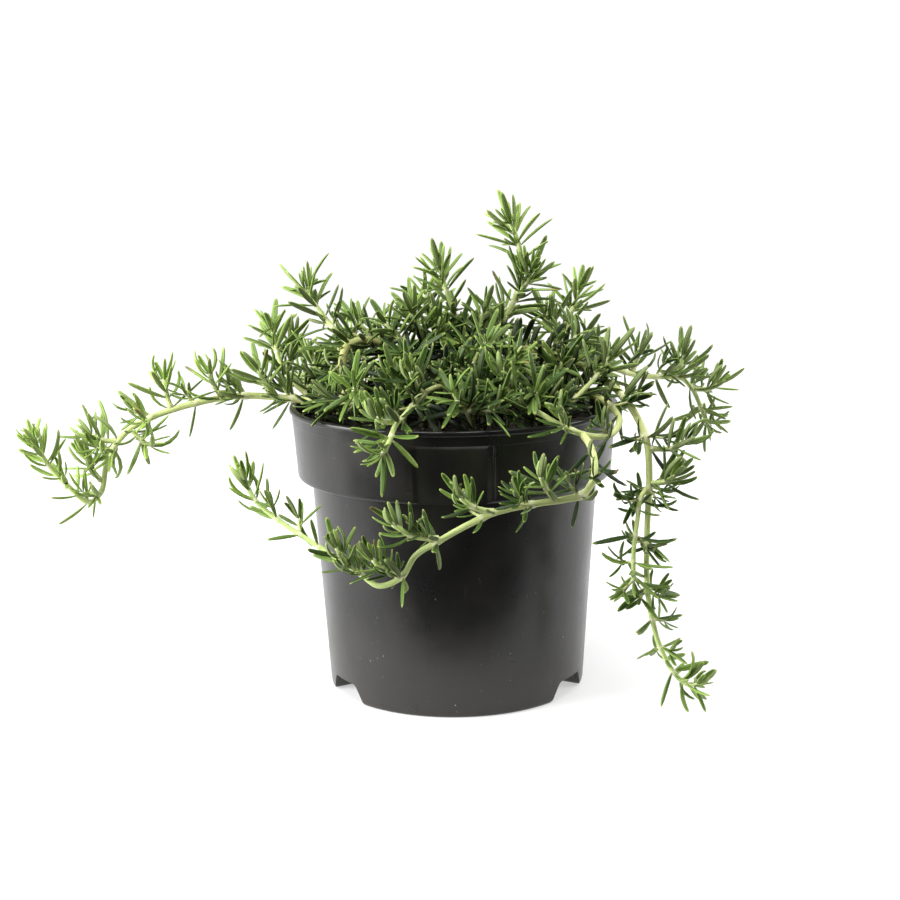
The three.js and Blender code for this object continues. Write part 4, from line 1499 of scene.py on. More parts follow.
class GeometrySheet(NodeSheet):
    """Lays out a geometry tree and turns objects into plain meshes with it."""

    def __init__(self, name: str, inputs: dict[str, str]) -> None:
        """Starts a tree with its named inputs.

        Args:
            name: The tree's name.
            inputs: What each input holds, by its name, after the geometry itself.
        """
        super().__init__(bpy.data.node_groups.new(name, "GeometryNodeTree"))
        face = self.tree.interface
        for title, kind in {"Geometry": "Geometry", **inputs}.items():
            face.new_socket(name=title, in_out="INPUT", socket_type="NodeSocket" + kind)
        face.new_socket(name="Geometry", in_out="OUTPUT", socket_type="NodeSocketGeometry")
        self.given = self.add("NodeGroupInput").outputs

    def named(self, name: str, kind: str = "FLOAT") -> Socket:
        """Reads an attribute of the geometry."""
        node = self.add("GeometryNodeInputNamedAttribute", {"Name": name}, data_type=kind)
        return self.find(node.outputs, "Attribute")

    def store(
        self, geometry: Socket, name: str, value: Socket, kind: str = "FLOAT",
        domain: str = "POINT", selection: Socket | bool = True,
    ) -> Socket:
        """Stores an attribute on the geometry.

        Args:
            geometry: The geometry.
            name: The attribute's name.
            value: What it holds.
            kind: Its data type.
            domain: Whether it is held by points or by the corners of faces.
            selection: Where it is stored.

        Returns:
            The geometry with the attribute.
        """
        inputs = {"Geometry": geometry, "Selection": selection, "Name": name, "Value": value}
        node = self.add("GeometryNodeStoreNamedAttribute", inputs, data_type=kind, domain=domain)
        return node.outputs["Geometry"]

    def chance(self, low: Any, high: Any, seed: Socket, kind: str = "FLOAT") -> Socket:
        """Draws a random value for each point.

        Args:
            low: The least.
            high: The most.
            seed: What it is drawn with.
            kind: Its type.

        Returns:
            The value.
        """
        mark = "_001" if kind == "FLOAT" else ""  # what the sockets of that type end in
        inputs = {"Min" + mark: low, "Max" + mark: high, "Seed": seed}
        node = self.add("FunctionNodeRandomValue", inputs, data_type=kind)
        return self.find(node.outputs, "Value" + mark)

    def real(self, geometries: list[Socket]) -> Socket:
        """Joins geometries and makes their instances real."""
        joined = self.add("GeometryNodeJoinGeometry", {0: geometries}).outputs[0]
        return self.add("GeometryNodeRealizeInstances", {0: joined}).outputs[0]

    def dress(self, geometry: Socket, material: Socket, selection: Socket | bool = True) -> Socket:
        """Sets the material of faces."""
        inputs = {"Geometry": geometry, "Selection": selection, "Material": material}
        return self.add("GeometryNodeSetMaterial", inputs).outputs[0]

    def end(self, geometry: Socket) -> None:
        """Ends the tree."""
        self.add("NodeGroupOutput", {0: geometry})

    def apply(self, piece: Object, values: dict[str, Any]) -> None:
        """Turns an object into the plain mesh that the tree makes of it.

        Args:
            piece: The object, which keeps its name.
            values: What goes into the named inputs.
        """
        modifier = piece.modifiers.new("grow", "NODES")
        modifier.node_group = self.tree
        for item in self.tree.interface.items_tree:
            if item.item_type == "SOCKET" and item.in_out == "INPUT" and item.name in values:
                modifier[item.identifier] = values[item.name]
        piece.update_tag()
        result = piece.evaluated_get(bpy.context.evaluated_depsgraph_get())
        mesh = bpy.data.meshes.new_from_object(result)
        piece.modifiers.remove(modifier)
        mesh.name = piece.name
        piece.data = mesh


@dataclass
class MapSheet:
    """Shares a piece's map out, so that no two twigs or leaves overlap on it.

    Long twigs lie in strips along the bottom, and leaves and short stalks in a grid above them.
    """

    strips: int
    cells: int
    strip_height: float = 0.016
    margin: float = 0.06  # round what lies in a strip or a cell, of its size
    edge: float = 0.004  # beside the strips

    def __post_init__(self) -> None:
        """Works out the grid."""
        self.floor = self.strips * self.strip_height
        self.columns = max(1, math.ceil(math.sqrt(self.cells * (1 - self.floor) / 2)))
        self.rows = math.ceil(self.cells / self.columns)

    def strip(self, index: int) -> tuple[Point, Point]:
        """Gives the low corner and the size of a strip."""
        low = (self.edge, (index + self.margin) * self.strip_height, 0.0)
        return low, (1 - 2 * self.edge, (1 - 2 * self.margin) * self.strip_height, 0.0)

    def cell(self, index: int) -> tuple[Point, Point]:
        """Finds a cell of the grid.

        Args:
            index: The cell's number.

        Returns:
            Its low corner and its size.
        """
        row, column = divmod(index, self.columns)
        width, height = 1 / self.columns, (1 - self.floor) / self.rows
        low = ((column + self.margin) * width, self.floor + (row + self.margin) * height, 0.0)
        return low, ((1 - 2 * self.margin) * width, (1 - 2 * self.margin) * height, 0.0)


class SprayTree(GeometrySheet):
    """Grows bark round a stem's lines and sets a leaf at each of its leaf marks."""

    INPUTS = {
        "Leaf shapes": "Collection", "Leaf finish": "Material", "Bark finish": "Material",
        "Stem sides": "Int", "Shade seed": "Int",
    }

    def __init__(self) -> None:
        """Lays out the tree."""
        super().__init__("rosemary_spray", self.INPUTS)
        is_leaf = self.named("is_leaf", "BOOLEAN")
        inputs = {"Geometry": self.given["Geometry"], "Selection": is_leaf}
        split = self.add("GeometryNodeSeparateGeometry", inputs, domain="POINT").outputs
        real = self.real([self.leaves(split["Selection"]), self.bark(split["Inverted"])])
        mapped = self.on_map(real, self.named("UVMap", "FLOAT_VECTOR"), is_leaf)
        smooth = self.add("GeometryNodeSetShadeSmooth", {"Geometry": mapped}).outputs[0]
        barked = self.dress(smooth, self.given["Bark finish"])
        self.end(self.dress(barked, self.given["Leaf finish"], is_leaf))

    def on_map(self, geometry: Socket, place: Socket, selection: Socket | bool = True) -> Socket:
        """Stores a map, shrunk into the cell that each twig and leaf has of the whole map.

        Args:
            geometry: The geometry.
            place: A place from 0 to 1 on the twig's or the leaf's own map.
            selection: Where it is stored.

        Returns:
            The geometry with the map.
        """
        low, size = (self.named(name, "FLOAT_VECTOR") for name in ("cell_low", "cell_size"))
        moved = self.add("ShaderNodeVectorMath", {0: place, 1: size, 2: low}, operation="MULTIPLY_ADD")
        return self.store(geometry, "UVMap", moved.outputs[0], "FLOAT2", "CORNER", selection)

    def leaves(self, marks: Socket) -> Socket:
        """Sets a leaf shape at each mark, with a shade of its own.

        Args:
            marks: The leaf marks.

        Returns:
            The leaves.
        """
        shaded = self.store(marks, "shade", self.chance(0.0, 1.0, self.given["Shade seed"]))
        inputs = {"Collection": self.given["Leaf shapes"]}
        inputs |= {"Separate Children": True, "Reset Children": True}
        shapes = self.add("GeometryNodeCollectionInfo", inputs).outputs[0]
        inputs = {
            "Points": shaded, "Instance": shapes, "Pick Instance": True,
            "Instance Index": self.named("shape", "INT"), "Rotation": self.named("turn", "QUATERNION"),
            "Scale": self.named("size", "FLOAT_VECTOR"),
        }
        return self.add("GeometryNodeInstanceOnPoints", inputs).outputs[0]

    def bark(self, lines: Socket) -> Socket:
        """Runs a tube along each line, as thick as its points say.

        Args:
            lines: The lines.

        Returns:
            The tubes, with a map and a grain that follow them.
        """
        curve = self.add("GeometryNodeMeshToCurve", {"Mesh": lines}).outputs[0]
        sides = self.given["Stem sides"]
        inputs = {"Resolution": self.plus(sides, 1.0), "Radius": 1.0}
        inputs |= {"Start Angle": 0.0, "Sweep Angle": 2 * math.pi}
        circle = self.add("GeometryNodeCurveArc", inputs, mode="RADIUS").outputs[0]
        index = self.add("GeometryNodeInputIndex").outputs[0]
        ring = self.store(circle, "around", self.sum("DIVIDE", index, sides))
        inputs = {"Curve": curve, "Profile Curve": ring, "Scale": self.named("thickness")}
        tube = self.add("GeometryNodeCurveToMesh", inputs).outputs[0]
        around = self.named("around")
        angle = self.times(around, 2 * math.pi)
        grain = self.combine(self.sum("COSINE", angle), self.sum("SINE", angle), self.named("along"))
        grained = self.store(tube, "grain", grain, "FLOAT_VECTOR")
        mapped = self.on_map(grained, self.combine(self.named("fraction"), around, 0.0))
        merged = self.add("GeometryNodeMergeByDistance", {"Geometry": mapped, "Distance": 1e-6})
        return merged.outputs[0]


@dataclass
class Mark:
    """A point of a twig's line, or the mark of a leaf, with what the spray tree reads there."""

    point: Vector
    cell_low: Point
    cell_size: Point
    thickness: float = 0.0
    # for leaves and side shoots it also carries painted light and shade
    age: float = 0.0
    joint: float = 0.0
    along: float = 0.0
    fraction: float = 0.0
    size: Point = (1.0, 1.0, 1.0)
    turn: Quaternion = field(default_factory=Quaternion)
    shape: int = 0
    is_leaf: bool = False


class Spray:
    """One leafy stem: a mesh of lines and leaf marks that the spray tree turns into the piece."""

    # what each mark carries, by its type
    CARRIED = {
        "FLOAT": ("thickness", "age", "joint", "along", "fraction"),
        "FLOAT_VECTOR": ("cell_low", "cell_size", "size"),
        "QUATERNION": ("turn",), "INT": ("shape",), "BOOLEAN": ("is_leaf",),
    }
    # what the finished piece no longer needs
    SPENT = ("thickness", "along", "fraction", "cell_low", "cell_size", "around", "is_leaf")

    def __init__(self, node: str, growth: StemGrowth) -> None:
        """Takes what has grown.

        Args:
            node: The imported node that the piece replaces.
            growth: The stem's twigs and leaves.
        """
        self.node = node
        self.growth = growth
        self.marks: list[Mark] = []
        self.edges: list[tuple[int, int]] = []

    def add_twig(self, twig: Twig, cell: tuple[Point, Point]) -> None:
        """Adds a twig's line.

        Args:
            twig: The twig.
            cell: Its part of the map.
        """
        start, end = twig.age
        along = 0.0
        for index, point in enumerate(twig.points):
            if index:
                along += (point - twig.points[index - 1]).length
                self.edges.append((len(self.marks) - 1, len(self.marks)))
            fraction = index / (len(twig.points) - 1)
            age = start + (end - start) * fraction
            mark = Mark(point, *cell, twig.radii[index], age, twig.joints[index], along, fraction)
            self.marks.append(mark)

    def add_leaf(self, leaf: Leaf, cell: tuple[Point, Point]) -> None:
        """Adds a leaf's mark.

        Args:
            leaf: The leaf.
            cell: Its part of the map.
        """
        wide = leaf.width / LEAF_WIDTH
        size = (wide, leaf.length / LEAF_LENGTH, wide)
        mark = Mark(leaf.root, *cell, age=leaf.age, size=size, turn=leaf.turn())
        mark.shape, mark.is_leaf = leaf.shape, True
        self.marks.append(mark)

    def mesh(self) -> Mesh:
        """Makes the mesh of lines and leaf marks, with all that the tree reads.

        Returns:
            The mesh.
        """
        twigs, leaves = self.growth.twigs, self.growth.leaves
        long_twigs = [twig for twig in twigs if len(twig.points) > len(STALK)]
        stalks = [twig for twig in twigs if len(twig.points) <= len(STALK)]
        sheet = MapSheet(len(long_twigs), len(stalks) + len(leaves))
        for index, twig in enumerate(long_twigs):
            self.add_twig(twig, sheet.strip(index))
        for index, twig in enumerate(stalks):
            self.add_twig(twig, sheet.cell(index))
        for index, leaf in enumerate(leaves, start=len(stalks)):
            self.add_leaf(leaf, sheet.cell(index))
        mesh = bpy.data.meshes.new(self.node + "_marks")
        mesh.from_pydata([mark.point for mark in self.marks], self.edges, [])
        for kind, names in self.CARRIED.items():
            for name in names:
                values = [getattr(mark, name) for mark in self.marks]
                if kind in ("FLOAT_VECTOR", "QUATERNION"):
                    values = [number for value in values for number in value]
                data = mesh.attributes.new(name, kind, "POINT").data
                data.foreach_set("vector" if kind == "FLOAT_VECTOR" else "value", values)
        return mesh

    def build(self, tree: SprayTree, values: dict[str, Any]) -> Object:
        """Builds the piece.

        Args:
            tree: The tree that grows bark and leaves.
            values: What goes into its named inputs.

        Returns:
            The piece.
        """
        piece = bpy.data.objects.new(self.node.replace("stem_", "spray_"), self.mesh())
        bpy.context.scene.collection.objects.link(piece)
        tree.apply(piece, values)
        for name in self.SPENT:
            attribute = piece.data.attributes.get(name)
            if attribute:
                piece.data.attributes.remove(attribute)
        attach(piece, "root")
        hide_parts(self.node)
        return piece


# ---------------- turned and cut forms


def softened(corners: Sequence[Point], steps: int = 4) -> list[Pair]:
    """Rounds the corners of an outline.

    Args:
        corners: Each corner's two coordinates, and how far from it the rounding starts.
        steps: The points on a rounded corner, less one.

    Returns:
        The outline's points.
    """
    points = []
    for index, (x, y, reach) in enumerate(corners):
        if reach <= 0:
            points.append((x, y))
            continue
        corner = Vector((x, y))
        others = (corners[index - 1], corners[(index + 1) % len(corners)])
        before, after = ((Vector(other[:2]) - corner).normalized() * reach for other in others)
        for step in range(steps + 1):
            t = step / steps
            point = corner + (1 - t) * (1 - t) * before + t * t * after
            points.append((point.x, point.y))
    return points


def link_mesh(body: BMesh, name: str) -> Object:
    """Turns a bmesh into an object in the scene.

    Args:
        body: The bmesh, which is freed.
        name: The object's name.

    Returns:
        The object.
    """
    mesh = bpy.data.meshes.new(name)
    body.to_mesh(mesh)
    body.free()
    piece = bpy.data.objects.new(name, mesh)
    bpy.context.scene.collection.objects.link(piece)
    return piece


def turned(
    profile: Sequence[Pair],
    angles: Sequence[float],
    shape: Callable[[float, float, float], Pair] = lambda r, z, a: (r, z),
) -> BMesh:
    """Turns a profile round the Z axis.

    Args:
        profile: Radii and heights, from the axis round to the axis again.
        angles: Where the rings of the profile stand, in degrees round from the front.
        shape: Gives the radius and height of a profile point at an angle.

    Returns:
        The closed body.
    """
    body = bmesh.new()
    columns = []
    for angle in angles:
        turn = math.radians(angle)
        column = []
        for radius, height in profile:
            r, z = shape(radius, height, angle)
            column.append(body.verts.new((r * math.sin(turn), -r * math.cos(turn), z)))
        columns.append(column)
    for column, after in zip(columns, columns[1:] + columns[:1]):
        for row in range(len(profile) - 1):
            body.faces.new((column[row], after[row], after[row + 1], column[row + 1]))
    bmesh.ops.remove_doubles(body, verts=body.verts, dist=1e-6)
    bmesh.ops.recalc_face_normals(body, faces=body.faces)
    return body


def bar(outline: Sequence[Pair], near: float, far: float, angle: float) -> BMesh:
    """Draws an outline out into a bar that points away from the Z axis.

    Args:
        outline: Points across and up, seen from the front.
        near: The bar's inner end, from the axis.
        far: Its outer end.
        angle: Where it points, in degrees round from the front.

    Returns:
        The closed bar.
    """
    body = bmesh.new()
    inner, outer = ([body.verts.new((x, -y, z)) for x, z in outline] for y in (near, far))
    body.faces.new(inner)
    body.faces.new(outer[::-1])
    for index in range(len(outline)):
        after = (index + 1) % len(outline)
        body.faces.new((inner[index], outer[index], outer[after], inner[after]))
    bmesh.ops.rotate(body, verts=body.verts, matrix=Matrix.Rotation(math.radians(angle), 3, "Z"))
    bmesh.ops.recalc_face_normals(body, faces=body.faces)
    return body


class Cut(Enum):
    """How a tool meets a piece."""

    JOIN = "UNION"
    REMOVE = "DIFFERENCE"
    KEEP = "INTERSECT"


def cut(piece: Object, tools: Sequence[Object], how: Cut) -> None:
    """Meets a piece with tools, and removes the tools.

    Args:
        piece: The piece, whose mesh is changed.
        tools: The tools.
        how: Whether they are added, taken away, or all that is kept.
    """
    for tool in tools:
        modifier = piece.modifiers.new("cut", "BOOLEAN")
        modifier.operation, modifier.solver, modifier.object = how.value, "EXACT", tool
    result = piece.evaluated_get(bpy.context.evaluated_depsgraph_get())
    mesh = bpy.data.meshes.new_from_object(result)
    piece.modifiers.clear()
    piece.data = mesh
    for tool in tools:
        bpy.data.objects.remove(tool)


# ---------------- pot and soil


@dataclass
class NurseryPot:
    """The round pot: a turned shell with a collar, a panel let into it and drain channels."""

    lip_height: float = 0.0024
    band_drop: float = 0.0072  # from the rim to a faint band round the collar
    band: float = 0.0001
    collar_edge: float = 0.0018
    foot_edge: float = 0.0024
    floor: float = 0.0016
    mouth_width: float = 0.033
    roof_width: float = 0.021
    channel_start: float = 0.042
    drain_radius: float = 0.004
    drain_at: float = 0.056
    panel_width: float = 0.035
    panel_height: float = 0.029
    panel_depth: float = 0.0014
    panel_side: float = 0.0020
    panel_turn: float = -1.0
    ridge: float = 0.0004
    segments: int = 144

    def profile(self) -> list[Pair]:
        """Gives the shell's profile: up the outside, over the lip and down the inside.

        Returns:
            Radii and heights.
        """
        band_foot = POT_HEIGHT - self.band_drop
        lip_foot = POT_HEIGHT - self.lip_height
        ledge = COLLAR_FOOT + BODY_WALL
        panel_top = COLLAR_FOOT + self.panel_height
        inner_top = COLLAR_TOP_RADIUS - COLLAR_WALL
        corners = (
            (0.0, 0.0, 0), (BODY_FOOT_RADIUS - 0.008, 0.0, 0), (BODY_FOOT_RADIUS, 0.0, self.foot_edge),
            (outer_radius(0.03), 0.03, 0), (outer_radius(0.07), 0.07, 0),
            (BODY_TOP_RADIUS, COLLAR_FOOT, 0.0008), (COLLAR_FOOT_RADIUS, COLLAR_FOOT, self.collar_edge),
            (outer_radius(COLLAR_FOOT + 0.003), COLLAR_FOOT + 0.003, 0),
            (outer_radius(panel_top - self.panel_side), panel_top - self.panel_side, 0),
            (outer_radius(panel_top), panel_top, 0.0001),
            (outer_radius(band_foot - 0.0005), band_foot - 0.0005, 0.0003),
            (outer_radius(band_foot) + self.band, band_foot, 0.0002),
            (outer_radius(lip_foot) + self.band, lip_foot - 0.0001, 0.0004),
            (LIP_RADIUS, lip_foot + 0.0003, 0.0003), (LIP_RADIUS, POT_HEIGHT, 0.0008),
            (inner_top, POT_HEIGHT, 0.0006), (inner_radius(ledge + 0.002), ledge + 0.002, 0.0004),
            (BODY_TOP_RADIUS - BODY_WALL, ledge, 0.0005), (inner_radius(0.005), 0.005, 0.001),
            (BODY_FOOT_RADIUS - 0.0046, self.floor, 0.001), (0.0, self.floor, 0),
        )
        return softened(corners)

    def panel_marks(self) -> list[float]:
        """Works out where the panel's sides and its ridge start and end.

        Returns:
            The angles, in degrees round from the front.
        """
        half = self.panel_width / 2
        across = [side * (half + at) for side in (-1, 1) for at in (-0.0004, 0.0, self.panel_side)]
        across += [half + self.panel_side + at for at in (0.0004, 0.0008, 0.0013, 0.0017)]
        return [math.degrees(math.asin(x / COLLAR_TOP_RADIUS)) + self.panel_turn for x in across]

    def angles(self) -> list[float]:
        """Spaces the rings of the shell evenly, but for the panel's sides.

        Returns:
            Their angles, in degrees round from the front.
        """
        marks = self.panel_marks()
        even = [360 * index / self.segments - 180 for index in range(self.segments)]
        clear = [angle for angle in even if all(abs(angle - mark) > 0.6 for mark in marks)]
        return sorted(clear + marks)

    def let_in(self, radius: float, height: float, angle: float) -> Pair:
        """Lets the panel into the collar, and raises the ridge along its right side.

        Args:
            radius: A profile point's radius.
            height: Its height.
            angle: Where it stands, in degrees round from the front.

        Returns:
            The radius and the height.
        """
        across = COLLAR_TOP_RADIUS * math.sin(math.radians(angle - self.panel_turn))
        top = COLLAR_FOOT + self.panel_height
        away = abs(across) - self.panel_width / 2
        outside = radius > inner_radius(height) + 0.0009
        if abs(angle) > 90 or not outside or not COLLAR_FOOT - 1e-5 <= height <= top + 1e-5:
            return radius, height
        deep = min(1.0, max(0.0, 1 - away / self.panel_side))
        deep = min(deep, max(0.0, (top - height) / self.panel_side))
        let = outer_radius(max(height, COLLAR_FOOT + 1e-6)) - self.panel_depth
        reached = min(radius, radius + deep * (let - radius)) if radius > let else radius
        ridge_from = across - self.panel_width / 2 - self.panel_side
        if 0.0003 < ridge_from < 0.0015 and height > COLLAR_FOOT + self.collar_edge:
            reached += self.ridge if 0.0007 < ridge_from < 0.0014 else 0.0
        return reached, height

    def channel(self, angle: float, wall: float) -> Object:
        """Makes a drain channel's space, grown by a wall on all sides.

        Args:
            angle: Where it points, in degrees round from the front.
            wall: How far it is grown.

        Returns:
            The tool.
        """
        mouth, roof = self.mouth_width / 2 + wall, self.roof_width / 2 + wall
        top = CHANNEL_HEIGHT + wall
        if wall > 0:
            right = [(mouth, 0.0002, 0), (roof, top, 0.0025)]
        else:
            right = [(mouth + 0.0034, -0.002, 0), (mouth + 0.0034, -5e-5, 0)]
            right += [(mouth, -5e-5, 0.0028), (roof, top, 0.0025)]
        left = [(-x, z, reach) for x, z, reach in reversed(right)]
        outline = softened(right + left, 6)
        body = bar(outline, self.channel_start - wall, LIP_RADIUS, angle)
        return link_mesh(body, "channel_tool")

    def hump(self, angle: float) -> Object:
        """Makes the hump that a drain channel raises on the pot's floor, inside the wall.

        Args:
            angle: Where the channel points, in degrees round from the front.

        Returns:
            The tool.
        """
        hump = self.channel(angle, self.floor)
        low, high = BODY_FOOT_RADIUS - 0.0026, outer_radius(0.02) - 0.0005
        profile = ((0.0, 0.0002), (low, 0.0002), (high, 0.02), (0.0, 0.02))
        inside = link_mesh(turned(profile, [3.0 * step for step in range(120)]), "inside_tool")
        cut(hump, [inside], Cut.KEEP)
        return hump

    def drain_hole(self, angle: float) -> Object:
        """Makes a drain hole's space.

        Args:
            angle: Where it lies, in degrees round from the front.

        Returns:
            The tool.
        """
        body = bmesh.new()
        turn = math.radians(angle)
        place = Vector((self.drain_at * math.sin(turn), -self.drain_at * math.cos(turn), 0.011))
        bmesh.ops.create_cone(
            body, cap_ends=True, segments=28, radius1=self.drain_radius, radius2=self.drain_radius,
            depth=0.008, matrix=Matrix.Translation(place),
        )
        return link_mesh(body, "drain_tool")

    def build(self, finish: PlasticFinish) -> Object:
        """Builds the pot.

        Args:
            finish: Its finish.

        Returns:
            The piece.
        """
        pot = link_mesh(turned(self.profile(), self.angles(), self.let_in), "nursery_pot")
        cut(pot, [self.hump(angle) for angle in CHANNEL_ANGLES], Cut.JOIN)
        cut(pot, [self.channel(angle, 0.0) for angle in CHANNEL_ANGLES], Cut.REMOVE)
        cut(pot, [self.drain_hole(angle) for angle in CHANNEL_ANGLES], Cut.REMOVE)
        pot.data.polygons.foreach_set("use_smooth", [True] * len(pot.data.polygons))
        pot.data.set_sharp_from_angle(angle=math.radians(34))
        pot.data.materials.clear()
        pot.data.materials.append(finish.material())
        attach(pot, "root")
        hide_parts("pot")
        return pot


class CrumbTree(GeometrySheet):
    """Strews crumbs over the top of the soil."""

    INPUTS = {
        "Crumbs per square metre": "Float", "Smallest": "Float", "Largest": "Float",
        "Seed": "Int", "Finish": "Material",
    }

    def __init__(self) -> None:
        """Lays out the tree."""
        super().__init__("soil_crumbs", self.INPUTS)
        ground = self.given["Geometry"]
        seeds = [self.plus(self.given["Seed"], number) for number in (1.0, 2.0, 3.0, 4.0)]
        facing = self.parts(self.add("GeometryNodeInputNormal").outputs[0])[2]
        inputs = {
            "Mesh": ground, "Selection": self.sum("GREATER_THAN", facing, 0.4),
            "Density": self.given["Crumbs per square metre"], "Seed": self.given["Seed"],
        }
        spread = self.add("GeometryNodeDistributePointsOnFaces", inputs, distribute_method="RANDOM")
        shade = self.chance(0.0, 1.0, seeds[2])
        points = self.store(spread.outputs["Points"], "shade", shade)
        lump = self.add("GeometryNodeMeshIcoSphere", {"Radius": 0.5, "Subdivisions": 1}).outputs[0]
        inputs = {"Geometry": lump, "Shade Smooth": False}
        ball = self.add("GeometryNodeSetShadeSmooth", inputs).outputs[0]
        size = self.chance(self.given["Smallest"], self.given["Largest"], seeds[0])
        shape = self.chance((0.55, 0.45, 0.35), (1.5, 1.0, 0.8), seeds[1], "FLOAT_VECTOR")
        turn = self.chance((0.0, 0.0, 0.0), (6.28, 6.28, 6.28), seeds[3], "FLOAT_VECTOR")
        spin = self.add("FunctionNodeEulerToRotation", {0: turn}).outputs[0]
        scale = self.add("ShaderNodeVectorMath", {0: shape, "Scale": size}, operation="SCALE").outputs[0]
        inputs = {"Points": points, "Instance": ball, "Rotation": spin, "Scale": scale}
        strewn = self.add("GeometryNodeInstanceOnPoints", inputs).outputs[0]
        self.end(self.dress(self.real([ground, strewn]), self.given["Finish"]))


@dataclass
class SoilBed:
    """The potting mix: a turned fill with an uneven top, and crumbs strewn over it."""

    bottom: float = 0.0123  # clear over the humps of the drain channels
    gap: float = 0.0003
    swell: float = 0.0016
    rings: int = 26
    segments: int = 96
    crumb_density: float = 52000.0
    crumb_size: Pair = (0.0009, 0.0034)
    seed: int = 7

    def height(self, x: float, y: float) -> float:
        """Gives the height of the top at a place, from slow swells and small clods.

        Args:
            x: The place to the right.
            y: The place to the back.

        Returns:
            The height.
        """
        slow = math.sin(110 * x + 0.6) * math.cos(90 * y) + 0.6 * math.sin(230 * (x - y))
        clods = noise.fractal(Vector((180 * x, 180 * y, 3.0)), 1.0, 2.0, 4)
        return SOIL_TOP + 0.5 * self.swell * slow + 0.0009 * clods

    def build(self, finish: SoilFinish) -> Object:
        """Builds the soil.

        Args:
            finish: Its finish.

        Returns:
            The piece.
        """
        gap = 2 * self.gap
        ledge = COLLAR_FOOT + BODY_WALL + self.gap
        edge = inner_radius(SOIL_TOP) - gap
        profile = [
            (0.0, self.bottom), (inner_radius(self.bottom) - gap, self.bottom),
            (BODY_TOP_RADIUS - BODY_WALL - gap, ledge),
            (inner_radius(ledge + 0.002) - gap, ledge + 0.002), (edge, SOIL_TOP - 0.003),
        ]
        profile += [(edge * (1 - i / self.rings), SOIL_TOP) for i in range(self.rings + 1)]
        angles = [360 * index / self.segments for index in range(self.segments)]
        body = turned(profile, angles)
        for vertex in body.verts:
            if vertex.co.z > SOIL_TOP - 0.001:
                vertex.co.z = self.height(vertex.co.x, vertex.co.y)
        soil = link_mesh(body, "soil_bed")
        soil.data.polygons.foreach_set("use_smooth", [True] * len(soil.data.polygons))
        low, high = self.crumb_size
        values = {
            "Crumbs per square metre": self.crumb_density, "Smallest": low, "Largest": high,
            "Seed": self.seed, "Finish": finish.material(),
        }
        CrumbTree().apply(soil, values)
        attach(soil, "root")
        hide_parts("soil")
        return soil


# ---------------- studio


@dataclass(frozen=True)
class Softbox:
    """A square soft light that faces a point of the plant."""

    name: str
    place: Point
    size: float
    power: float

    def hang(self) -> None:
        """Hangs the light."""
        light = bpy.data.lights.new(self.name, "AREA")
        light.size, light.energy = self.size, self.power
        box = bpy.data.objects.new(self.name, light)
        box.location = self.place
        aim = Vector((0.0, 0.0, 0.12)) - Vector(self.place)
        box.rotation_euler = aim.to_track_quat("-Z", "Y").to_euler()
        bpy.context.scene.collection.objects.link(box)


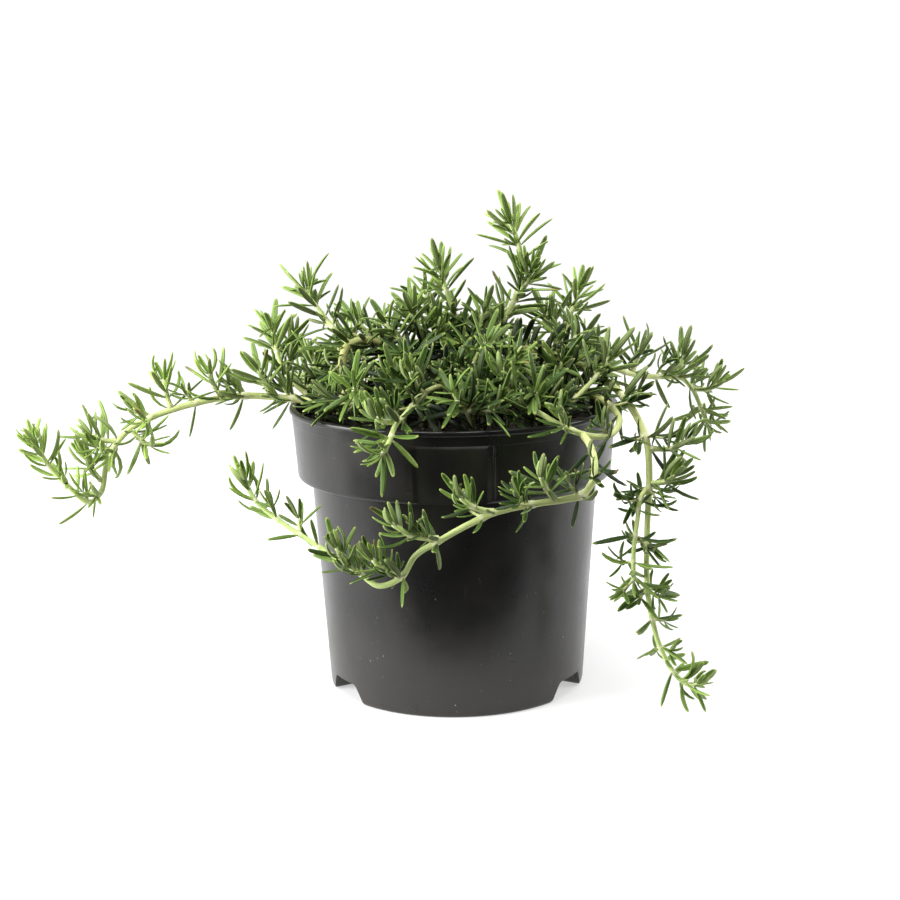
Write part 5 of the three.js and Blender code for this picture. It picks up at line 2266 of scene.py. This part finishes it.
@dataclass
class Studio:
    """A pale floor, soft light all round and the camera where the photograph was taken from."""

    camera_at: Point = (-0.0022, -0.9, 0.30095)
    pitch: float = 0.195  # downwards
    roll: float = -0.014
    lens: float = 70.324
    floor_front: float = -0.138  # the white room goes on where the floor ends
    floor_reach: float = 1.1
    floor_back: float = 1.1
    glow: float = 0.50  # keeps the floor as white as the backdrop
    backdrop: float = 1.0
    backdrop_seen: float = 1.05  # as the camera sees it
    camera_side: float = 0.05
    floor_greys: tuple[Colour, Colour] = ((0.48, 0.48, 0.48, 1.0), (0.50, 0.50, 0.50, 1.0))
    boxes: tuple[Softbox, ...] = (
        Softbox("left_box", (-1.12, -0.38, 0.42), 0.85, 34.0),
        Softbox("right_box", (1.4, 0.10, 0.65), 0.8, 13.0),
        Softbox("top_box", (-0.1, -0.35, 1.5), 1.0, 26.0),
    )

    def camera(self) -> None:
        """Sets the camera up."""
        data = bpy.data.cameras.new("camera")
        data.lens, data.sensor_width = self.lens, 36.0
        data.clip_start, data.clip_end = 0.01, 50.0
        camera = bpy.data.objects.new("camera", data)
        tilt = Matrix.Rotation(math.pi / 2 - self.pitch, 4, "X")
        lean = Matrix.Rotation(self.roll, 4, "Z")
        camera.matrix_world = Matrix.Translation(self.camera_at) @ tilt @ lean
        bpy.context.scene.collection.objects.link(camera)
        bpy.context.scene.camera = camera

    def floor(self) -> None:
        """Lays the floor."""
        body = bmesh.new()
        corners = [(side * self.floor_reach, self.floor_front) for side in (-1, 1)]
        corners += [(side * self.floor_reach, self.floor_back) for side in (1, -1)]
        body.faces.new([body.verts.new((x, y, 0.0)) for x, y in corners])
        floor = link_mesh(body, "studio_floor")
        sheet = MaterialSheet("studio_white")
        grey = sheet.noise(sheet.place, 3.0)
        colour = sheet.blend(sheet.step(grey, 0.3, 0.7), *self.floor_greys)
        normal = sheet.bump(grey, 0.0001, 0.1)
        white = sheet.finish(
            colour, 0.9, normal, Emission_Color=(1.0, 1.0, 1.0, 1.0), Emission_Strength=self.glow,
            Specular_IOR_Level=0.1,
        )
        floor.data.materials.append(white)
        floor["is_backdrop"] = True

    def world(self) -> None:
        """Lights the room all round, less from the camera's side, before a white backdrop."""
        world = bpy.data.worlds.new("studio")
        world.use_nodes = True
        bpy.context.scene.world = world
        sheet = NodeSheet(world.node_tree)
        world.node_tree.nodes.clear()
        depth = sheet.parts(sheet.add("ShaderNodeTexCoord").outputs["Generated"])[1]
        bright = sheet.step(depth, -0.8, 0.35, self.camera_side, self.backdrop)
        seen = sheet.add("ShaderNodeLightPath").outputs["Is Camera Ray"]
        inputs = {"Factor_Float": seen, "A_Float": bright, "B_Float": self.backdrop_seen}
        strength = sheet.find(sheet.add("ShaderNodeMix", inputs).outputs, "Result_Float")
        inputs = {"Color": (1.0, 1.0, 1.0, 1.0), "Strength": strength}
        background = sheet.add("ShaderNodeBackground", inputs)
        sheet.add("ShaderNodeOutputWorld", {"Surface": background.outputs[0]})

    def build(self) -> None:
        """Builds the studio."""
        self.camera()
        self.floor()
        self.world()
        for box in self.boxes:
            box.hang()
        settings = bpy.context.scene.view_settings
        settings.view_transform = "Standard"
        settings.look = "None"


# ---------------- the whole plant


@dataclass
class Rosemary:
    """The plant's stems, each grown and built as a piece of its own."""

    room: Room
    first_seed: int = 100
    shade_seed: int = 40
    stem_sides: int = 8
    rule: GrowthRule = field(default_factory=GrowthRule)

    @staticmethod
    def habit(node: str, axes: Sequence[Axis]) -> Habit:
        """Says how a stem grows.

        Args:
            node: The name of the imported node.
            axes: The stem's axes.

        Returns:
            The habit, from the name and the place of the tip.
        """
        if node.startswith("stem_mound"):
            return Habit.CROWN
        trails = axes[0].route[-1][2] < POT_HEIGHT or node.endswith(("trail", "back"))
        return Habit.TRAILING if trails else Habit.UPRIGHT

    def grow(self) -> dict[str, StemGrowth]:
        """Grows every stem.

        Returns:
            What has grown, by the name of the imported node.
        """
        growths = {}
        for seed, (node, axes) in enumerate(all_stems().items(), start=self.first_seed):
            growths[node] = StemGrowth(axes, self.habit(node, axes), seed, self.rule, self.room)
            for line in growths[node].lines:
                self.room.take_line(line)
        for growth in growths.values():
            growth.grow()
        return growths

    def build(self, leaf: LeafFinish, bark: BarkFinish) -> list[Object]:
        """Builds every stem.

        Args:
            leaf: The finish of the leaves.
            bark: The finish of the stems.

        Returns:
            The pieces.
        """
        tree = SprayTree()
        values = {
            "Leaf shapes": leaf_collection(), "Leaf finish": leaf.material(),
            "Bark finish": bark.material(), "Stem sides": self.stem_sides,
        }
        pieces = []
        for seed, (node, growth) in enumerate(self.grow().items(), start=self.shade_seed):
            piece = Spray(node, growth).build(tree, {**values, "Shade seed": seed})
            report(piece, f"{len(growth.leaves)} leaves")
            pieces.append(piece)
        return pieces


def report(piece: Object, words: str = "") -> None:
    """Reports a finished piece."""
    log.info("%s: %d faces %s", piece.name, len(piece.data.polygons), words)


def main() -> None:
    """Measures the imported model's box, then builds the studio, the pot, the soil and the plant, whose
    leaves keep within a margin of that box.
    """
    logging.basicConfig(level=logging.INFO, format="%(name)s %(message)s", stream=sys.stdout)
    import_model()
    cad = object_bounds()
    Studio().build()
    report(NurseryPot().build(PlasticFinish()))
    report(SoilBed().build(SoilFinish()))
    spare = SPARE * (cad[1] - cad[0])
    Rosemary(Room(cad[0] - spare, cad[1] + spare)).build(LeafFinish(), BarkFinish())
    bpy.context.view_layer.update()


if __name__ == "__main__":
    main()
